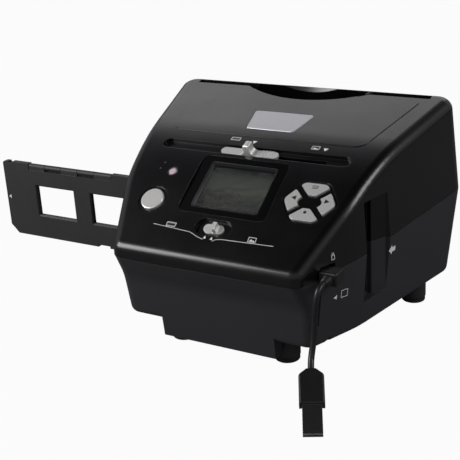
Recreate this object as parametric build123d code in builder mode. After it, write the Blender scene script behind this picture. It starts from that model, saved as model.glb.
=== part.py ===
from build123d import *
import math
import os

# Desktop film and photo scanner with its film holder and computer lead.
#
# Millimetres, +Z up. X = 0 is the machine's plane of symmetry and Y runs from the front lip to the
# rear. The origin is on the table, below the middle of the parting line between the two shells.

os.makedirs("parts", exist_ok=True)

# ---------------------------------------------------------------- casing, plan at the parting line
lip_y = -95.0                 # front face of the lip
rear_y = 84.4                 # rear face
lip_half_width = 69.4         # where the side reaches the lip
waist_y = -44.8               # where the side turns
waist_half_width = 89.6
rear_half_width = 117.4
side_radius = 110.0           # soft turn of the side at the waist
front_corner_radius = 9.0
rear_corner_radius = 12.0
upper_draft = 4.8             # degrees, measured from the square of the parting plane
lower_draft = 3.6
wall = 2.5

# ---------------------------------------------------------------- casing, side view
lip_z = 79.8                  # panel height carried to the lip
front_slope = 36.3            # degrees
rear_slope = 12.9             # degrees
knee_y = -25.5                # where the two slopes would meet
knee_radius = 180.0
edge_radius = 8.0             # rounding all round the panel
parting_z = 80.3              # parting plane at Y = 0
parting_slope = 5.3           # degrees, it rises to the rear
reveal = 0.7                  # shadow line below the parting plane
chin_y, chin_z = -83.5, 52.0  # where the front face turns under the lip
chin_radius = 24.0
base_z = 22.0                 # underside of the casing
base_front_y = -80.2          # front face at the underside
base_rear_y = 80.0            # rear face at the underside
rear_top_y = 80.2             # rear face at the panel
bottom_radius = 6.0

# ---------------------------------------------------------------- apron, feet and screws
apron_half_width = 43.5       # between the front feet
apron_bottom_z = 10.0
apron_depth = 10.0
leg_radius = 9.0
foot_radius = 8.6
foot_height = 4.0
foot_spigot_radius = 3.0
foot_spigot_length = 5.0
front_leg = (41.0, -57.5)
rear_leg = (86.2, 62.0)
front_post = (73.5, -64.5)
rear_post = (98.0, 46.0)
post_radius = 3.8
screw_radius = 1.5
screw_length = 12.0
screw_head_radius = 2.6
screw_head_height = 2.0
screw_seat = 4.0              # thickness of the web under each screw head
fit = 0.05                    # radial clearance of a pressed or running fit
seat = 0.2                    # clearance round a piece dropped into a recess

# ---------------------------------------------------------------- photo slot and finger scoops
slot_half_length = 94.5
slot_y = 70.5
slot_width = 5.4
scoop_half_width = 49.0
scoop_reach = 16.0            # forward of the slot's front edge
scoop_bevel = 2.6
scoop_depth = 15.0
rear_scoop_half_width = 38.0
rear_scoop_drop = 6.5
rear_scoop_radius = 110.0
collar_depth = 19.0

# ---------------------------------------------------------------- raised field and badge plate
field_top_half_width, field_top_y = 90.0, 63.0
field_bottom_half_width, field_bottom_y = 74.0, -3.3
field_radius = 9.0
field_height = 0.35
badge_top_half_width, badge_top_y = 23.7, 31.3
badge_bottom_half_width, badge_bottom_y = 18.4, 5.8
badge_radius = 2.2
badge_thickness = 1.2
badge_proud = 0.5

# ---------------------------------------------------------------- mode slider
slider_y = -18.6
slider_slot_half_length = 72.3
slider_slot_width = 9.8
slider_slot_depth = 3.0
slider_x = -2.9
slider_length = 44.0
slider_width = 6.6
slider_thickness = 1.8
slider_fin_width = 4.4
slider_fin_height = 8.0
slider_fin_root = 4.0
slider_end_gap = 0.4          # left at the end of the slot
slider_travel = slider_slot_half_length - slider_length / 2 - slider_x - slider_end_gap
slider_stem_width = 8.0
slider_stem_thickness = 2.4
rib_count = 4
rib_pitch = 2.4
rib_height = 0.5
slide_gap = 0.1               # between sliding flats

# ---------------------------------------------------------------- display
display_y = -47.4
display_frame_width, display_frame_height = 66.0, 48.5
display_frame_radius = 5.0
display_frame_thickness = 3.6
display_sink = 1.7            # frame face below the panel's crown
display_view_width, display_view_height = 47.0, 34.8
display_bevel = 1.9
glass_thickness = 1.0
glass_margin = 1.6
module_margin = 3.2
module_thickness = 3.4

# ---------------------------------------------------------------- scan button and status lamp
button_x, button_y = -55.0, -63.0
button_radius = 8.3
button_rim_radius = 11.0
button_rim_depth = 0.8
button_proud = 1.2
button_travel = 1.2
press_gap = 0.3               # round a moving key
flange_thickness = 1.0
flange_reach = 0.8
lamp_x, lamp_y = -50.5, -42.6
lamp_radius = 2.7
lamp_ring_width = 0.8
lamp_proud = 0.5

# ---------------------------------------------------------------- key pad
pad_x, pad_y = 57.7, -51.4
pad_half_width, pad_half_height = 20.6, 16.6
pad_flat_half_width = 9.0
pad_radius = 6.5
pad_sink = 0.9
key_border = 2.0
key_gap = 4.2
key_cut_angle = 43.0
hub_half_width, hub_half_height = 9.4, 5.2
hub_flat_half_width = 5.0
hub_radius = 3.0
key_corner = 0.9
key_proud = 0.4
key_travel = 0.8
key_board_half_width, key_board_half_height = 17.5, 14.5

# ---------------------------------------------------------------- function switch
switch_y = -75.0
switch_half_length = 13.4
switch_width = 12.6
switch_sink = 2.6
switch_knob_x = -0.6
switch_knob_length, switch_knob_width = 15.0, 6.6
switch_knob_thickness = 1.4
switch_fin_width = 3.4
switch_fin_height = 4.4
switch_fin_offset = 1.8
switch_travel = 4.0
switch_stem = 3.0
switch_body_length, switch_body_width, switch_body_depth = 17.0, 7.0, 5.0

# ---------------------------------------------------------------- film holder
film_y = -25.4
optical_z = 72.9              # middle of the pictures
leaf_thickness = 2.3
holder_left_x, holder_right_x = -222.4, 35.9
holder_bottom_z, holder_top_z = 42.2, 102.5
picture_width, picture_height = 36.0, 24.0
picture_pitch = 53.1
picture_count = 4
first_picture_x = -172.9
picture_bevel = 1.0
film_width, film_depth = 35.4, 0.25
holder_chamfer = 7.0
holder_corner = 2.0
finger_notch_x, finger_notch_width, finger_notch_depth = -215.0, 3.8, 1.2
hinge_left_x, hinge_right_x = -196.3, -117.1
hinge_recess = 5.0
hinge_barrel_radius = 2.1
hinge_pin_radius = 0.8
hinge_knuckles = 5
knuckle_gap = 0.3
detent_x, detent_width, detent_depth, detent_count = -129.8, 11.2, 1.8, 3

# ---------------------------------------------------------------- film channel
channel_clearance = 0.45
rail_clearance = 0.2
gate_thickness = 2.2
gate_half_length = 80.8
gate_half_width, gate_half_height = 22.0, 15.0
gate_top_z = 107.0
lug_x, lug_thickness = 77.0, 4.0
bay_front_y, bay_rear_y = -38.8, -12.0
bay_bottom_z, bay_top_z = 41.0, 110.5
bay_wall_x = 84.0             # face of the bay at the channel's mouth
bay_outer_x = 104.0
mouth_front_y = -30.2
mouth_rear_y = -21.6
bay_rear_x = 93.5
mouth_nose_radius = 1.2

# ---------------------------------------------------------------- backlight and rods
rod_radius = 2.0
rod_y = -14.0
upper_rod_z, lower_rod_z = 101.0, 44.0
rod_half_length = 80.0
carriage_half_width = 23.0
carriage_thickness = 4.0
carriage_boss_radius = 4.0
diffuser_width, diffuser_height, diffuser_thickness = 42.0, 30.0, 1.5

# ---------------------------------------------------------------- camera
lens_radius, lens_length = 7.0, 20.0
lens_front_radius, lens_front_length = 8.4, 5.0
lens_front_y = -42.0
camera_board_size = 30.0
board_thickness = 1.6
bracket_thickness = 2.4
bracket_half_width = 17.0
bracket_top_z = 90.0
bracket_foot = 16.0

# ---------------------------------------------------------------- boards and sockets
board_y = -74.6               # front face of the main board
board_left_x, board_right_x = -56.0, 66.0
board_bottom_z, board_top_z = 28.0, 70.0
board_post_radius = 2.5
board_posts = ((-50.0, 34.0), (-50.0, 60.0), (38.0, 34.0), (38.0, 60.0))
port_x = 76.2                 # flat seat of the plug in the casing's side
port_y, port_z = -73.0, 73.6
port_seat_half_width, port_seat_half_height = 7.6, 6.2
socket_width, socket_height, socket_length = 7.7, 4.0, 9.0
port_board_left_x = 52.0
card_z, card_y = 51.0, -76.9
card_slit_height, card_slit_width = 24.6, 2.8
card_socket_left_x, card_socket_right_x = 44.0, 68.0
card_socket_height, card_socket_depth = 27.0, 4.0

# ---------------------------------------------------------------- photo rails and lamps
rail_depth, rail_lip = 3.0, 2.4
rail_floor = 5.5
light_x, light_y = 81.0, 30.0
light_width, light_depth, light_height = 7.0, 5.0, 92.0

# ---------------------------------------------------------------- plug and lead
plug_length, plug_width, plug_height = 11.6, 12.0, 9.4
plug_radius = 1.6
plug_gap = 0.3
tip_length, tip_width, tip_height = 6.0, 6.8, 3.1
boot_x = 82.0
boot_length, boot_start_radius, boot_end_radius = 6.0, 3.9, 2.6
cable_radius = 2.0
far_entry = (82.3, -106.0, 24.6)
far_heading, far_dip = -63.6, 31.6    # degrees, in plan from +X and below the level
far_length, far_width, far_height = 24.0, 15.6, 8.0
far_shoulder = 4.0
far_shell_length, far_shell_width, far_shell_height = 18.7, 12.0, 4.5
far_run = 5.6                 # straight run of the lead into its far plug


# ================================================================ shared geometry
tilt = math.radians(parting_slope)
parting = Plane(origin=(0, 0, parting_z), x_dir=(1, 0, 0), z_dir=(0, -math.sin(tilt), math.cos(tilt)))
panel_rear_z = (lip_z + math.tan(math.radians(front_slope)) * (knee_y - lip_y)
                + math.tan(math.radians(rear_slope)) * (rear_top_y - knee_y))
knee_z = lip_z + math.tan(math.radians(front_slope)) * (knee_y - lip_y)


def parting_height(y):
    """Height of the parting plane at Y."""
    return parting_z + math.tan(tilt) * y


def panel(y):
    """Height and slope, in degrees, of the panel at Y."""
    half_turn = math.radians(front_slope - rear_slope) / 2
    tangent = knee_radius * math.tan(half_turn)
    start = knee_y - tangent * math.cos(math.radians(front_slope))
    end = knee_y + tangent * math.cos(math.radians(rear_slope))
    if y <= start:
        return lip_z + math.tan(math.radians(front_slope)) * (y - lip_y), front_slope
    if y >= end:
        return knee_z + math.tan(math.radians(rear_slope)) * (y - knee_y), rear_slope
    centre_y = start + knee_radius * math.sin(math.radians(front_slope))
    centre_z = (knee_z - tangent * math.sin(math.radians(front_slope))
                - knee_radius * math.cos(math.radians(front_slope)))
    across = centre_y - y
    slope = math.degrees(math.asin(across / knee_radius))
    return centre_z + math.sqrt(knee_radius ** 2 - across ** 2), slope


def panel_plane(x, y, depth=0.0):
    """Plane that touches the panel at (x, y), lowered by depth, local Y up the slope."""
    height, slope = panel(y)
    turn = math.radians(slope)
    normal = Vector(0, -math.sin(turn), math.cos(turn))
    return Plane(origin=Vector(x, y, height) - normal * depth, x_dir=(1, 0, 0), z_dir=normal)


def inset_points(points, inset):
    """Closed polygon, counter-clockwise, moved inward by inset along every side."""
    moved = []
    count = len(points)
    for i in range(count):
        (ax, ay), (bx, by), (cx, cy) = points[i - 1], points[i], points[(i + 1) % count]
        d1 = math.hypot(bx - ax, by - ay)
        d2 = math.hypot(cx - bx, cy - by)
        n1 = (-(by - ay) / d1, (bx - ax) / d1)
        n2 = (-(cy - by) / d2, (cx - bx) / d2)
        scale = inset / (1 + n1[0] * n2[0] + n1[1] * n2[1])
        moved.append((bx + scale * (n1[0] + n2[0]), by + scale * (n1[1] + n2[1])))
    return moved


front_line_y = lip_y - 30.0   # the plan runs past the side view, which trims it
rear_line_y = rear_y + 30.0
front_spread = (waist_half_width - lip_half_width) / (waist_y - lip_y)
rear_spread = (rear_half_width - waist_half_width) / (rear_y - waist_y)


def half_width(y):
    """Half width of the casing at the parting plane, without the soft turn at the waist."""
    if y < waist_y:
        return lip_half_width + front_spread * (y - lip_y)
    return waist_half_width + rear_spread * (y - waist_y)


def rounded_polygon(points, rounding):
    """Face of a polygon with the corners in rounding, {corner: radius}, rounded."""
    with BuildSketch() as outline:
        with BuildLine():
            Polyline(*points, close=True)
        make_face()
        for corner, radius in rounding.items():
            found = outline.vertices().sort_by_distance(Vector(*points[corner]))[0]
            fillet(found, radius)
    return outline.sketch


def plan_face(inset):
    stretch = 1 / math.cos(tilt)
    right = [(half_width(front_line_y), front_line_y), (waist_half_width, waist_y),
             (half_width(rear_line_y), rear_line_y)]
    points = right + [(-x, y) for x, y in reversed(right)]
    moved = inset_points([(x, y * stretch) for x, y in points], inset)
    return rounded_polygon(moved, {1: side_radius - inset, 4: side_radius - inset})


def side_face(upper, inset):
    """Side view of one half, running past the parting plane: local X is Y, local Y is Z."""
    def carried(a, b, z):
        """Point at height z on the line from a through b."""
        return a[0] + (b[0] - a[0]) * (z - a[1]) / (b[1] - a[1]), z

    lip, rear = (lip_y, parting_height(lip_y)), (rear_y, parting_height(rear_y))
    rear_top = (rear_top_y, panel_rear_z)
    if upper:
        points = [(lip_y, base_z), carried(rear_top, rear, base_z), rear_top,
                  (knee_y, knee_z), (lip_y, lip_z)]
        return rounded_polygon(inset_points(points, inset), {3: knee_radius - inset})
    points = [carried((chin_y, chin_z), lip, knee_z), (chin_y, chin_z), (base_front_y, base_z),
              (base_rear_y, base_z), carried((base_rear_y, base_z), rear, knee_z)]
    return rounded_polygon(inset_points(points, inset), {1: chin_radius + inset})


def casing_half(upper, inset=0.0):
    """Solid inside the casing's skin above or below the parting plane, moved in by inset."""
    front_r, rear_r = front_corner_radius - inset, rear_corner_radius - inset
    with BuildPart() as block:
        with BuildSketch(parting):
            add(plan_face(inset))
        if upper:
            extrude(amount=130, taper=upper_draft)
        else:
            extrude(amount=-110, taper=lower_draft)
        with BuildSketch(Plane.YZ):
            add(side_face(upper, inset))
        extrude(amount=200, both=True, mode=Mode.INTERSECT)

        def corner(edge, front):
            a, b = edge @ 0, edge @ 1
            rises = abs(a.Z - b.Z) > 0.9 * math.hypot(a.X - b.X, a.Y - b.Y)
            middle = edge.center()
            return rises and abs(middle.X) > 40 and (middle.Y < -70 if front else middle.Y > 60)

        fillet([e for e in block.edges() if corner(e, True)], front_r)
        fillet([e for e in block.edges() if corner(e, False)], rear_r)
        skin = [f for f in block.faces() if (f.normal_at().Z > 0.6 if upper else f.normal_at().Z < -0.9)]
        rim = []
        for face in skin:
            for edge in face.outer_wire().edges():
                shared = [e for other in skin if other is not face
                          for e in other.outer_wire().edges() if e.center() == edge.center()]
                if not shared:
                    rim.append(edge)
        fillet(rim, (edge_radius if upper else bottom_radius) - inset)
    return block.part


# ================================================================ outlines used by several pieces
gate_front_y = film_y - leaf_thickness - channel_clearance
gate_rear_y = film_y + leaf_thickness + channel_clearance
slot_front_y, slot_rear_y = slot_y - slot_width / 2, slot_y + slot_width / 2
inner_floor_z = base_z + wall
field_z = 190.0               # above everything, where vertical cuts start


def bay_points(side):
    """Plan of the recess round the film channel's mouth, side +1 right or -1 left."""
    right = [(bay_outer_x, bay_front_y - 4.5), (bay_outer_x, bay_rear_y + 1.6),
             (bay_rear_x, bay_rear_y - 0.4), (bay_wall_x + 3.1, mouth_rear_y),
             (bay_wall_x, mouth_rear_y), (bay_wall_x, mouth_front_y),
             (bay_wall_x + 2.5, bay_front_y + 2.3)]
    return right if side > 0 else [(-x, y) for x, y in reversed(right)]


def bay_nose(side):
    return 3 if side > 0 else len(bay_points(side)) - 4


def mouth_points(side):
    """Plan of the funnel from the bay into the channel."""
    right = [(bay_wall_x + 3.1, mouth_rear_y), (gate_half_length - 0.5, gate_rear_y),
             (gate_half_length - 0.5, gate_front_y), (bay_wall_x + 0.1, mouth_front_y)]
    return right if side > 0 else [(-x, y) for x, y in reversed(right)]


def scoop_face(half_across, reach):
    """Finger scoop in front of the photo slot, drawn on the panel plane at the slot."""
    back = slot_width
    with BuildSketch() as outline:
        with BuildLine():
            Polyline((-half_across, 0), (-half_across, back), (half_across, back), (half_across, 0))
            ThreePointArc((half_across, 0), (0, -reach), (-half_across, 0))
        make_face()
    return outline.sketch


def pad_face(inset):
    """Six-sided outline of the key pad, drawn on the panel plane at its centre."""
    points = [(pad_half_width, 0), (pad_flat_half_width, pad_half_height),
              (-pad_flat_half_width, pad_half_height), (-pad_half_width, 0),
              (-pad_flat_half_width, -pad_half_height), (pad_flat_half_width, -pad_half_height)]
    moved = inset_points(points, inset)
    return rounded_polygon(moved, {i: max(pad_radius - inset, 1.0) for i in range(6)})


key_angles = {"up": 90.0, "left": 180.0, "down": 270.0, "right": 0.0}


def key_face(name, grow=0.0):
    """Outline of one key, a sector of the pad's ring, made larger all round by grow."""
    turn = math.radians(key_angles[name])
    half = math.radians(key_cut_angle if name in ("left", "right") else 90 - key_cut_angle)
    far = 60.0
    apex = (key_gap / 2 - grow) / math.sin(half)
    corners = [(apex * math.cos(turn), apex * math.sin(turn))]
    for swing in (-half, half):
        corners.append((corners[0][0] + far * math.cos(turn + swing),
                        corners[0][1] + far * math.sin(turn + swing)))
    hub = [(hub_half_width, 0), (hub_flat_half_width, hub_half_height),
           (-hub_flat_half_width, hub_half_height), (-hub_half_width, 0),
           (-hub_flat_half_width, -hub_half_height), (hub_flat_half_width, -hub_half_height)]
    with BuildSketch() as outline:
        with BuildLine():
            Polyline(*corners, close=True)
        make_face()
        add(pad_face(key_border - grow), mode=Mode.INTERSECT)
        add(rounded_polygon(inset_points(hub, grow), {i: hub_radius - grow for i in range(6)}),
            mode=Mode.SUBTRACT)

        def outer(corner):
            along = math.atan2(corner.Y - corners[0][1], corner.X - corners[0][0]) - turn
            on_cut = abs(abs(math.remainder(along, 2 * math.pi)) - half) < 1e-4
            return on_cut and math.hypot(corner.X, corner.Y) > hub_half_width + key_corner

        fillet([v for v in outline.vertices() if outer(v)], key_corner + grow / 2)
    return outline.sketch


def trapezoid(top_half, top_y, bottom_half, bottom_y, radius, y0, slope):
    """Trapezoid given in plan sizes, drawn on the panel plane that touches at y0."""
    up = 1 / math.cos(math.radians(slope))
    points = [(bottom_half, (bottom_y - y0) * up), (top_half, (top_y - y0) * up),
              (-top_half, (top_y - y0) * up), (-bottom_half, (bottom_y - y0) * up)]
    return rounded_polygon(points, {i: radius for i in range(4)})


badge_y = (badge_top_y + badge_bottom_y) / 2
badge_plane = panel_plane(0, badge_y)
badge_outline = trapezoid(badge_top_half_width, badge_top_y, badge_bottom_half_width,
                          badge_bottom_y, badge_radius, badge_y, panel(badge_y)[1])
display_floor = display_sink + display_frame_thickness
module_width = display_view_width + 2 * module_margin
module_height = display_view_height + 2 * module_margin
lamp_ring_radius = lamp_radius + fit + lamp_ring_width
key_board_depth = 9.2         # face of a key board below the panel
key_board_post = 2.0
key_board_posts = {"pad": ((-15.5, 13.0), (15.5, 13.0), (-15.5, -13.0)), "scan": ((-9.5, 9.5), (9.5, -9.5))}
web_z = {post: parting_height(post[1]) - screw_seat for post in (front_post, rear_post)}
posts = [(side * x, y) for x, y in (front_post, rear_post) for side in (-1, 1)]
legs = [(side * x, y) for x, y in (front_leg, rear_leg) for side in (-1, 1)]


# ================================================================ upper shell
with BuildPart() as upper_ribs:
    for side in (-1, 1):
        with BuildSketch(Plane.XY.offset(bay_bottom_z - wall)):
            add(rounded_polygon(inset_points(bay_points(side), -wall), {}))
        extrude(amount=bay_top_z - bay_bottom_z + 2 * wall)
    with BuildSketch(panel_plane(0, slot_front_y, collar_depth)):
        add(scoop_face(scoop_half_width + wall, scoop_reach + wall))
        with Locations((0, slot_width / 2)):
            Rectangle(2 * (slot_half_length + wall), slot_width + 2 * wall)
        with Locations((0, slot_width + 4)):
            Rectangle(2 * (rear_scoop_half_width + 2 * wall), 8)
    extrude(amount=collar_depth)
    with BuildSketch(Plane.XY.offset(base_z)):
        with Locations(*posts):
            Circle(post_radius)
    extrude(amount=field_z)
    with BuildSketch(Plane.YZ.offset(port_x - wall)):
        with Locations((port_y, port_z)):
            Rectangle(2 * (port_seat_half_width + wall), 2 * (port_seat_half_height + wall))
    extrude(amount=20)
    with BuildSketch(panel_plane(0, slider_y, 1.2)):
        SlotOverall(2 * (slider_slot_half_length + wall), slider_slot_width + 2 * wall)
    extrude(amount=-(slider_slot_depth + wall - 1.2))
    with BuildSketch(panel_plane(0, display_y, 3.0)):
        RectangleRounded(display_frame_width + 2 * wall, display_frame_height + 2 * wall,
                         display_frame_radius + wall)
    extrude(amount=-(display_floor + wall - 3.0))
    with BuildSketch(panel_plane(switch_knob_x, switch_y, 1.2)):
        SlotOverall(2 * (switch_half_length + wall), switch_width + 2 * wall)
    extrude(amount=-(switch_sink + wall - 1.2))
    for name, place in (("pad", panel_plane(pad_x, pad_y, 1.2)),
                        ("scan", panel_plane(button_x, button_y, 1.2))):
        with BuildSketch(place):
            with Locations(*key_board_posts[name]):
                Circle(key_board_post)
        extrude(amount=-(key_board_depth - 1.2))
    add(casing_half(True, 1.0), mode=Mode.INTERSECT)

with BuildPart() as field_ridge:
    field_y = (field_top_y + field_bottom_y) / 2
    with BuildSketch(Plane.XY.offset(100)):
        add(rounded_polygon([(field_bottom_half_width, field_bottom_y),
                             (field_top_half_width, field_top_y),
                             (-field_top_half_width, field_top_y),
                             (-field_bottom_half_width, field_bottom_y)],
                            {0: field_radius, 1: field_radius / 3, 2: field_radius / 3, 3: field_radius}))
    extrude(amount=80)
    add(casing_half(True, -field_height), mode=Mode.INTERSECT)
    add(casing_half(True, wall / 2), mode=Mode.SUBTRACT)

with BuildPart() as rear_scoop:
    arc_radius = (rear_scoop_half_width ** 2 + rear_scoop_drop ** 2) / (2 * rear_scoop_drop)
    lean = math.radians(70.0)
    start_z = panel(slot_rear_y)[0] - rear_scoop_drop
    place = Plane(origin=(0, slot_rear_y, start_z), x_dir=(1, 0, 0), z_dir=(0, math.cos(lean), math.sin(lean)))
    with BuildSketch(place):
        with Locations((0, -arc_radius)):
            Circle(arc_radius)
    extrude(amount=25, both=True)
    with BuildSketch(Plane.XY.offset(100)):
        with Locations((0, slot_y + 10)):
            Rectangle(2 * rear_scoop_half_width, 20)
    extrude(amount=80, mode=Mode.INTERSECT)

slot_plane = panel_plane(0, slot_front_y)
with BuildPart() as scoop_cut:
    with BuildSketch(slot_plane):
        add(scoop_face(scoop_half_width, scoop_reach))
    with BuildSketch(panel_plane(0, slot_front_y, scoop_bevel)):
        add(scoop_face(scoop_half_width - 2 * scoop_bevel, scoop_reach - scoop_bevel))
    loft(ruled=True)
    with BuildSketch(slot_plane):
        add(scoop_face(scoop_half_width, scoop_reach))
    extrude(amount=6)
    with BuildSketch(panel_plane(0, slot_front_y, scoop_depth)):
        add(scoop_face(scoop_half_width - 2 * scoop_bevel, scoop_reach - scoop_bevel))
    extrude(amount=scoop_depth - scoop_bevel)

with BuildPart() as side_cuts:
    for side in (-1, 1):
        with BuildSketch(Plane.XY.offset(bay_bottom_z)):
            add(rounded_polygon(bay_points(side), {bay_nose(side): mouth_nose_radius}))
        extrude(amount=bay_top_z - bay_bottom_z)
        with BuildSketch(Plane.XY.offset(holder_bottom_z - rail_clearance)):
            add(rounded_polygon(mouth_points(side), {}))
        extrude(amount=gate_top_z - holder_bottom_z - 2)
    with BuildSketch(Plane.YZ.offset(port_x)):
        with Locations((port_y, port_z)):
            Rectangle(2 * port_seat_half_width, 2 * port_seat_half_height)
    extrude(amount=30)
    with BuildSketch(Plane.YZ.offset(port_x - wall - 1)):
        with Locations((port_y, port_z)):
            Rectangle(socket_width + 2 * seat, socket_height + 2 * seat)
    extrude(amount=wall + 2)

with BuildPart() as upper_shell:
    add(casing_half(True))
    add(casing_half(True, wall), mode=Mode.SUBTRACT)
    add(upper_ribs.part)
    add(field_ridge.part)
    add(side_cuts.part, mode=Mode.SUBTRACT)
    # photo slot with its finger scoops
    with BuildSketch(Plane.XY.offset(100)):
        with Locations((0, slot_y)):
            Rectangle(2 * slot_half_length, slot_width)
    extrude(amount=80, mode=Mode.SUBTRACT)
    add(scoop_cut.part, mode=Mode.SUBTRACT)
    add(rear_scoop.part, mode=Mode.SUBTRACT)
    # slider slot and the slit for the slider's stem
    with BuildSketch(panel_plane(0, slider_y, slider_slot_depth)):
        SlotOverall(2 * slider_slot_half_length, slider_slot_width)
    extrude(amount=8, mode=Mode.SUBTRACT)
    with BuildSketch(panel_plane(slider_x + slider_travel / 2, slider_y, 10)):
        Rectangle(slider_travel + slider_stem_width + 2 * press_gap, slider_stem_thickness + 2 * seat)
    extrude(amount=10, mode=Mode.SUBTRACT)
    # display recess and window
    with BuildSketch(panel_plane(0, display_y, display_floor)):
        RectangleRounded(display_frame_width + 2 * seat, display_frame_height + 2 * seat,
                         display_frame_radius + seat)
    extrude(amount=10, mode=Mode.SUBTRACT)
    with BuildSketch(panel_plane(0, display_y, 12)):
        Rectangle(module_width + 2 * seat, module_height + 2 * seat)
    extrude(amount=12, mode=Mode.SUBTRACT)
    # scan button, lamp and key pad
    with BuildSketch(panel_plane(button_x, button_y, button_rim_depth)):
        Circle(button_rim_radius)
    extrude(amount=5, mode=Mode.SUBTRACT)
    with BuildSketch(panel_plane(button_x, button_y, 2 * wall)):
        Circle(button_radius + press_gap)
    extrude(amount=2 * wall, mode=Mode.SUBTRACT)
    with BuildSketch(panel_plane(lamp_x, lamp_y, 2 * wall)):
        Circle(lamp_radius + fit)
    extrude(amount=4 * wall, mode=Mode.SUBTRACT)
    with BuildSketch(panel_plane(lamp_x, lamp_y, button_rim_depth)):
        Circle(lamp_ring_radius + fit)
    extrude(amount=5, mode=Mode.SUBTRACT)
    with BuildSketch(panel_plane(pad_x, pad_y, pad_sink)):
        add(pad_face(0))
    extrude(amount=5, mode=Mode.SUBTRACT)
    for name in key_angles:
        with BuildSketch(panel_plane(pad_x, pad_y, 2 * wall)):
            add(key_face(name, press_gap))
        extrude(amount=2 * wall, mode=Mode.SUBTRACT)
    with BuildSketch(panel_plane(pad_x, pad_y, wall)):
        add(pad_face(-seat))
    extrude(amount=-2 * wall, mode=Mode.SUBTRACT)
    # function switch
    with BuildSketch(panel_plane(switch_knob_x, switch_y, switch_sink)):
        SlotOverall(2 * switch_half_length, switch_width)
    extrude(amount=8, mode=Mode.SUBTRACT)
    with BuildSketch(panel_plane(switch_knob_x - switch_travel / 2, switch_y, 8)):
        Rectangle(switch_travel + switch_stem + 2 * press_gap, switch_stem + 2 * seat)
    extrude(amount=8, mode=Mode.SUBTRACT)
    # badge recess and screw holes
    with BuildSketch(panel_plane(0, badge_y, badge_thickness - badge_proud)):
        offset(badge_outline, amount=seat)
    extrude(amount=5, mode=Mode.SUBTRACT)
    with BuildSketch(Plane.XY.offset(base_z)):
        with Locations(*posts):
            Circle(screw_radius + fit)
    extrude(amount=parting_height(front_post[1]) + screw_length - screw_seat - base_z, mode=Mode.SUBTRACT)
    with BuildSketch(Plane.XY.offset(base_z)):
        with Locations(*[(s * rear_post[0], rear_post[1]) for s in (-1, 1)]):
            Circle(screw_radius + fit)
    extrude(amount=parting_height(rear_post[1]) + screw_length - screw_seat - base_z, mode=Mode.SUBTRACT)
print("upper shell", upper_shell.part.volume, len(upper_shell.solids()))

# ================================================================ lower shell
front_face_run = (base_front_y - chin_y) / (base_z - chin_z)


def front_face_y(z):
    """Y of the front face below the chin."""
    return base_front_y + front_face_run * (z - base_z)


apron_rear_y = front_face_y(apron_bottom_z) + apron_depth
with BuildPart() as lower_ribs:
    for side in (-1, 1):
        with BuildSketch(Plane.XY.offset(bay_bottom_z - wall)):
            add(rounded_polygon(inset_points(bay_points(side), -wall), {}))
        extrude(amount=bay_top_z - bay_bottom_z + 2 * wall)
    with BuildSketch(Plane.XY.offset(base_z)):
        with Locations(*posts):
            Circle(post_radius)
    extrude(amount=field_z)
    with BuildSketch(Plane.YZ.offset(port_x - wall)):
        with Locations((port_y, port_z)):
            Rectangle(2 * (port_seat_half_width + wall), 2 * (port_seat_half_height + wall))
    extrude(amount=20)
    with BuildSketch(Plane.XZ.offset(-board_y)):
        with Locations(*board_posts):
            Circle(board_post_radius)
    extrude(amount=20)
    add(casing_half(False, 1.0), mode=Mode.INTERSECT)

with BuildPart() as reveal_ring:
    with BuildSketch(parting):
        Rectangle(400, 400)
    extrude(amount=-reveal)
    add(casing_half(False, reveal), mode=Mode.SUBTRACT)

with BuildPart() as lower_shell:
    add(casing_half(False))
    add(casing_half(False, wall), mode=Mode.SUBTRACT)
    add(lower_ribs.part)
    with BuildSketch(Plane.YZ):
        top_z = base_z + 2 * bottom_radius
        with BuildLine():
            Polyline((front_face_y(top_z), top_z), (front_face_y(apron_bottom_z), apron_bottom_z),
                     (apron_rear_y, apron_bottom_z), (apron_rear_y, base_z + 1),
                     (front_face_y(base_z) + wall, base_z + 1), (front_face_y(top_z) + wall, top_z), close=True)
        make_face()
    extrude(amount=apron_half_width, both=True)
    with BuildSketch(Plane.XY.offset(apron_bottom_z)):
        with Locations((0, (front_face_y(apron_bottom_z) + apron_rear_y) / 2)):
            Rectangle(2 * (apron_half_width - wall), apron_depth - 2 * wall)
    extrude(amount=base_z - wall / 2 - apron_bottom_z, mode=Mode.SUBTRACT)
    with BuildSketch(Plane.XY.offset(foot_height)):
        with Locations(*legs):
            Circle(leg_radius)
    extrude(amount=base_z + wall / 2 - foot_height)
    with BuildSketch(Plane.XY.offset(foot_height)):
        with Locations(*legs):
            Circle(foot_spigot_radius + fit)
    extrude(amount=foot_spigot_length + seat, mode=Mode.SUBTRACT)
    add(side_cuts.part, mode=Mode.SUBTRACT)
    add(reveal_ring.part, mode=Mode.SUBTRACT)
    with BuildSketch(Plane.YZ.offset(card_socket_right_x)):
        with Locations((card_y, card_z)):
            Rectangle(card_slit_width, card_slit_height)
    extrude(amount=20, mode=Mode.SUBTRACT)
    with BuildSketch(Plane.XY):
        with Locations(*posts):
            Circle(screw_radius + seat)
    extrude(amount=field_z, mode=Mode.SUBTRACT)
    for post in (front_post, rear_post):
        with BuildSketch(Plane.XY):
            with Locations(*[(s * post[0], post[1]) for s in (-1, 1)]):
                Circle(screw_head_radius + seat)
        extrude(amount=web_z[post], mode=Mode.SUBTRACT)
print("lower shell", lower_shell.part.volume, len(lower_shell.solids()))


# ================================================================ feet and screws
def foot(place):
    with BuildPart() as pad:
        with BuildSketch():
            with Locations(place):
                Circle(foot_radius)
        extrude(amount=foot_height)
        fillet(pad.faces().sort_by(Axis.Z)[0].edges(), 0.8)
        with BuildSketch(Plane.XY.offset(foot_height)):
            with Locations(place):
                Circle(foot_spigot_radius)
        extrude(amount=foot_spigot_length)
    return pad.part


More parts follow.
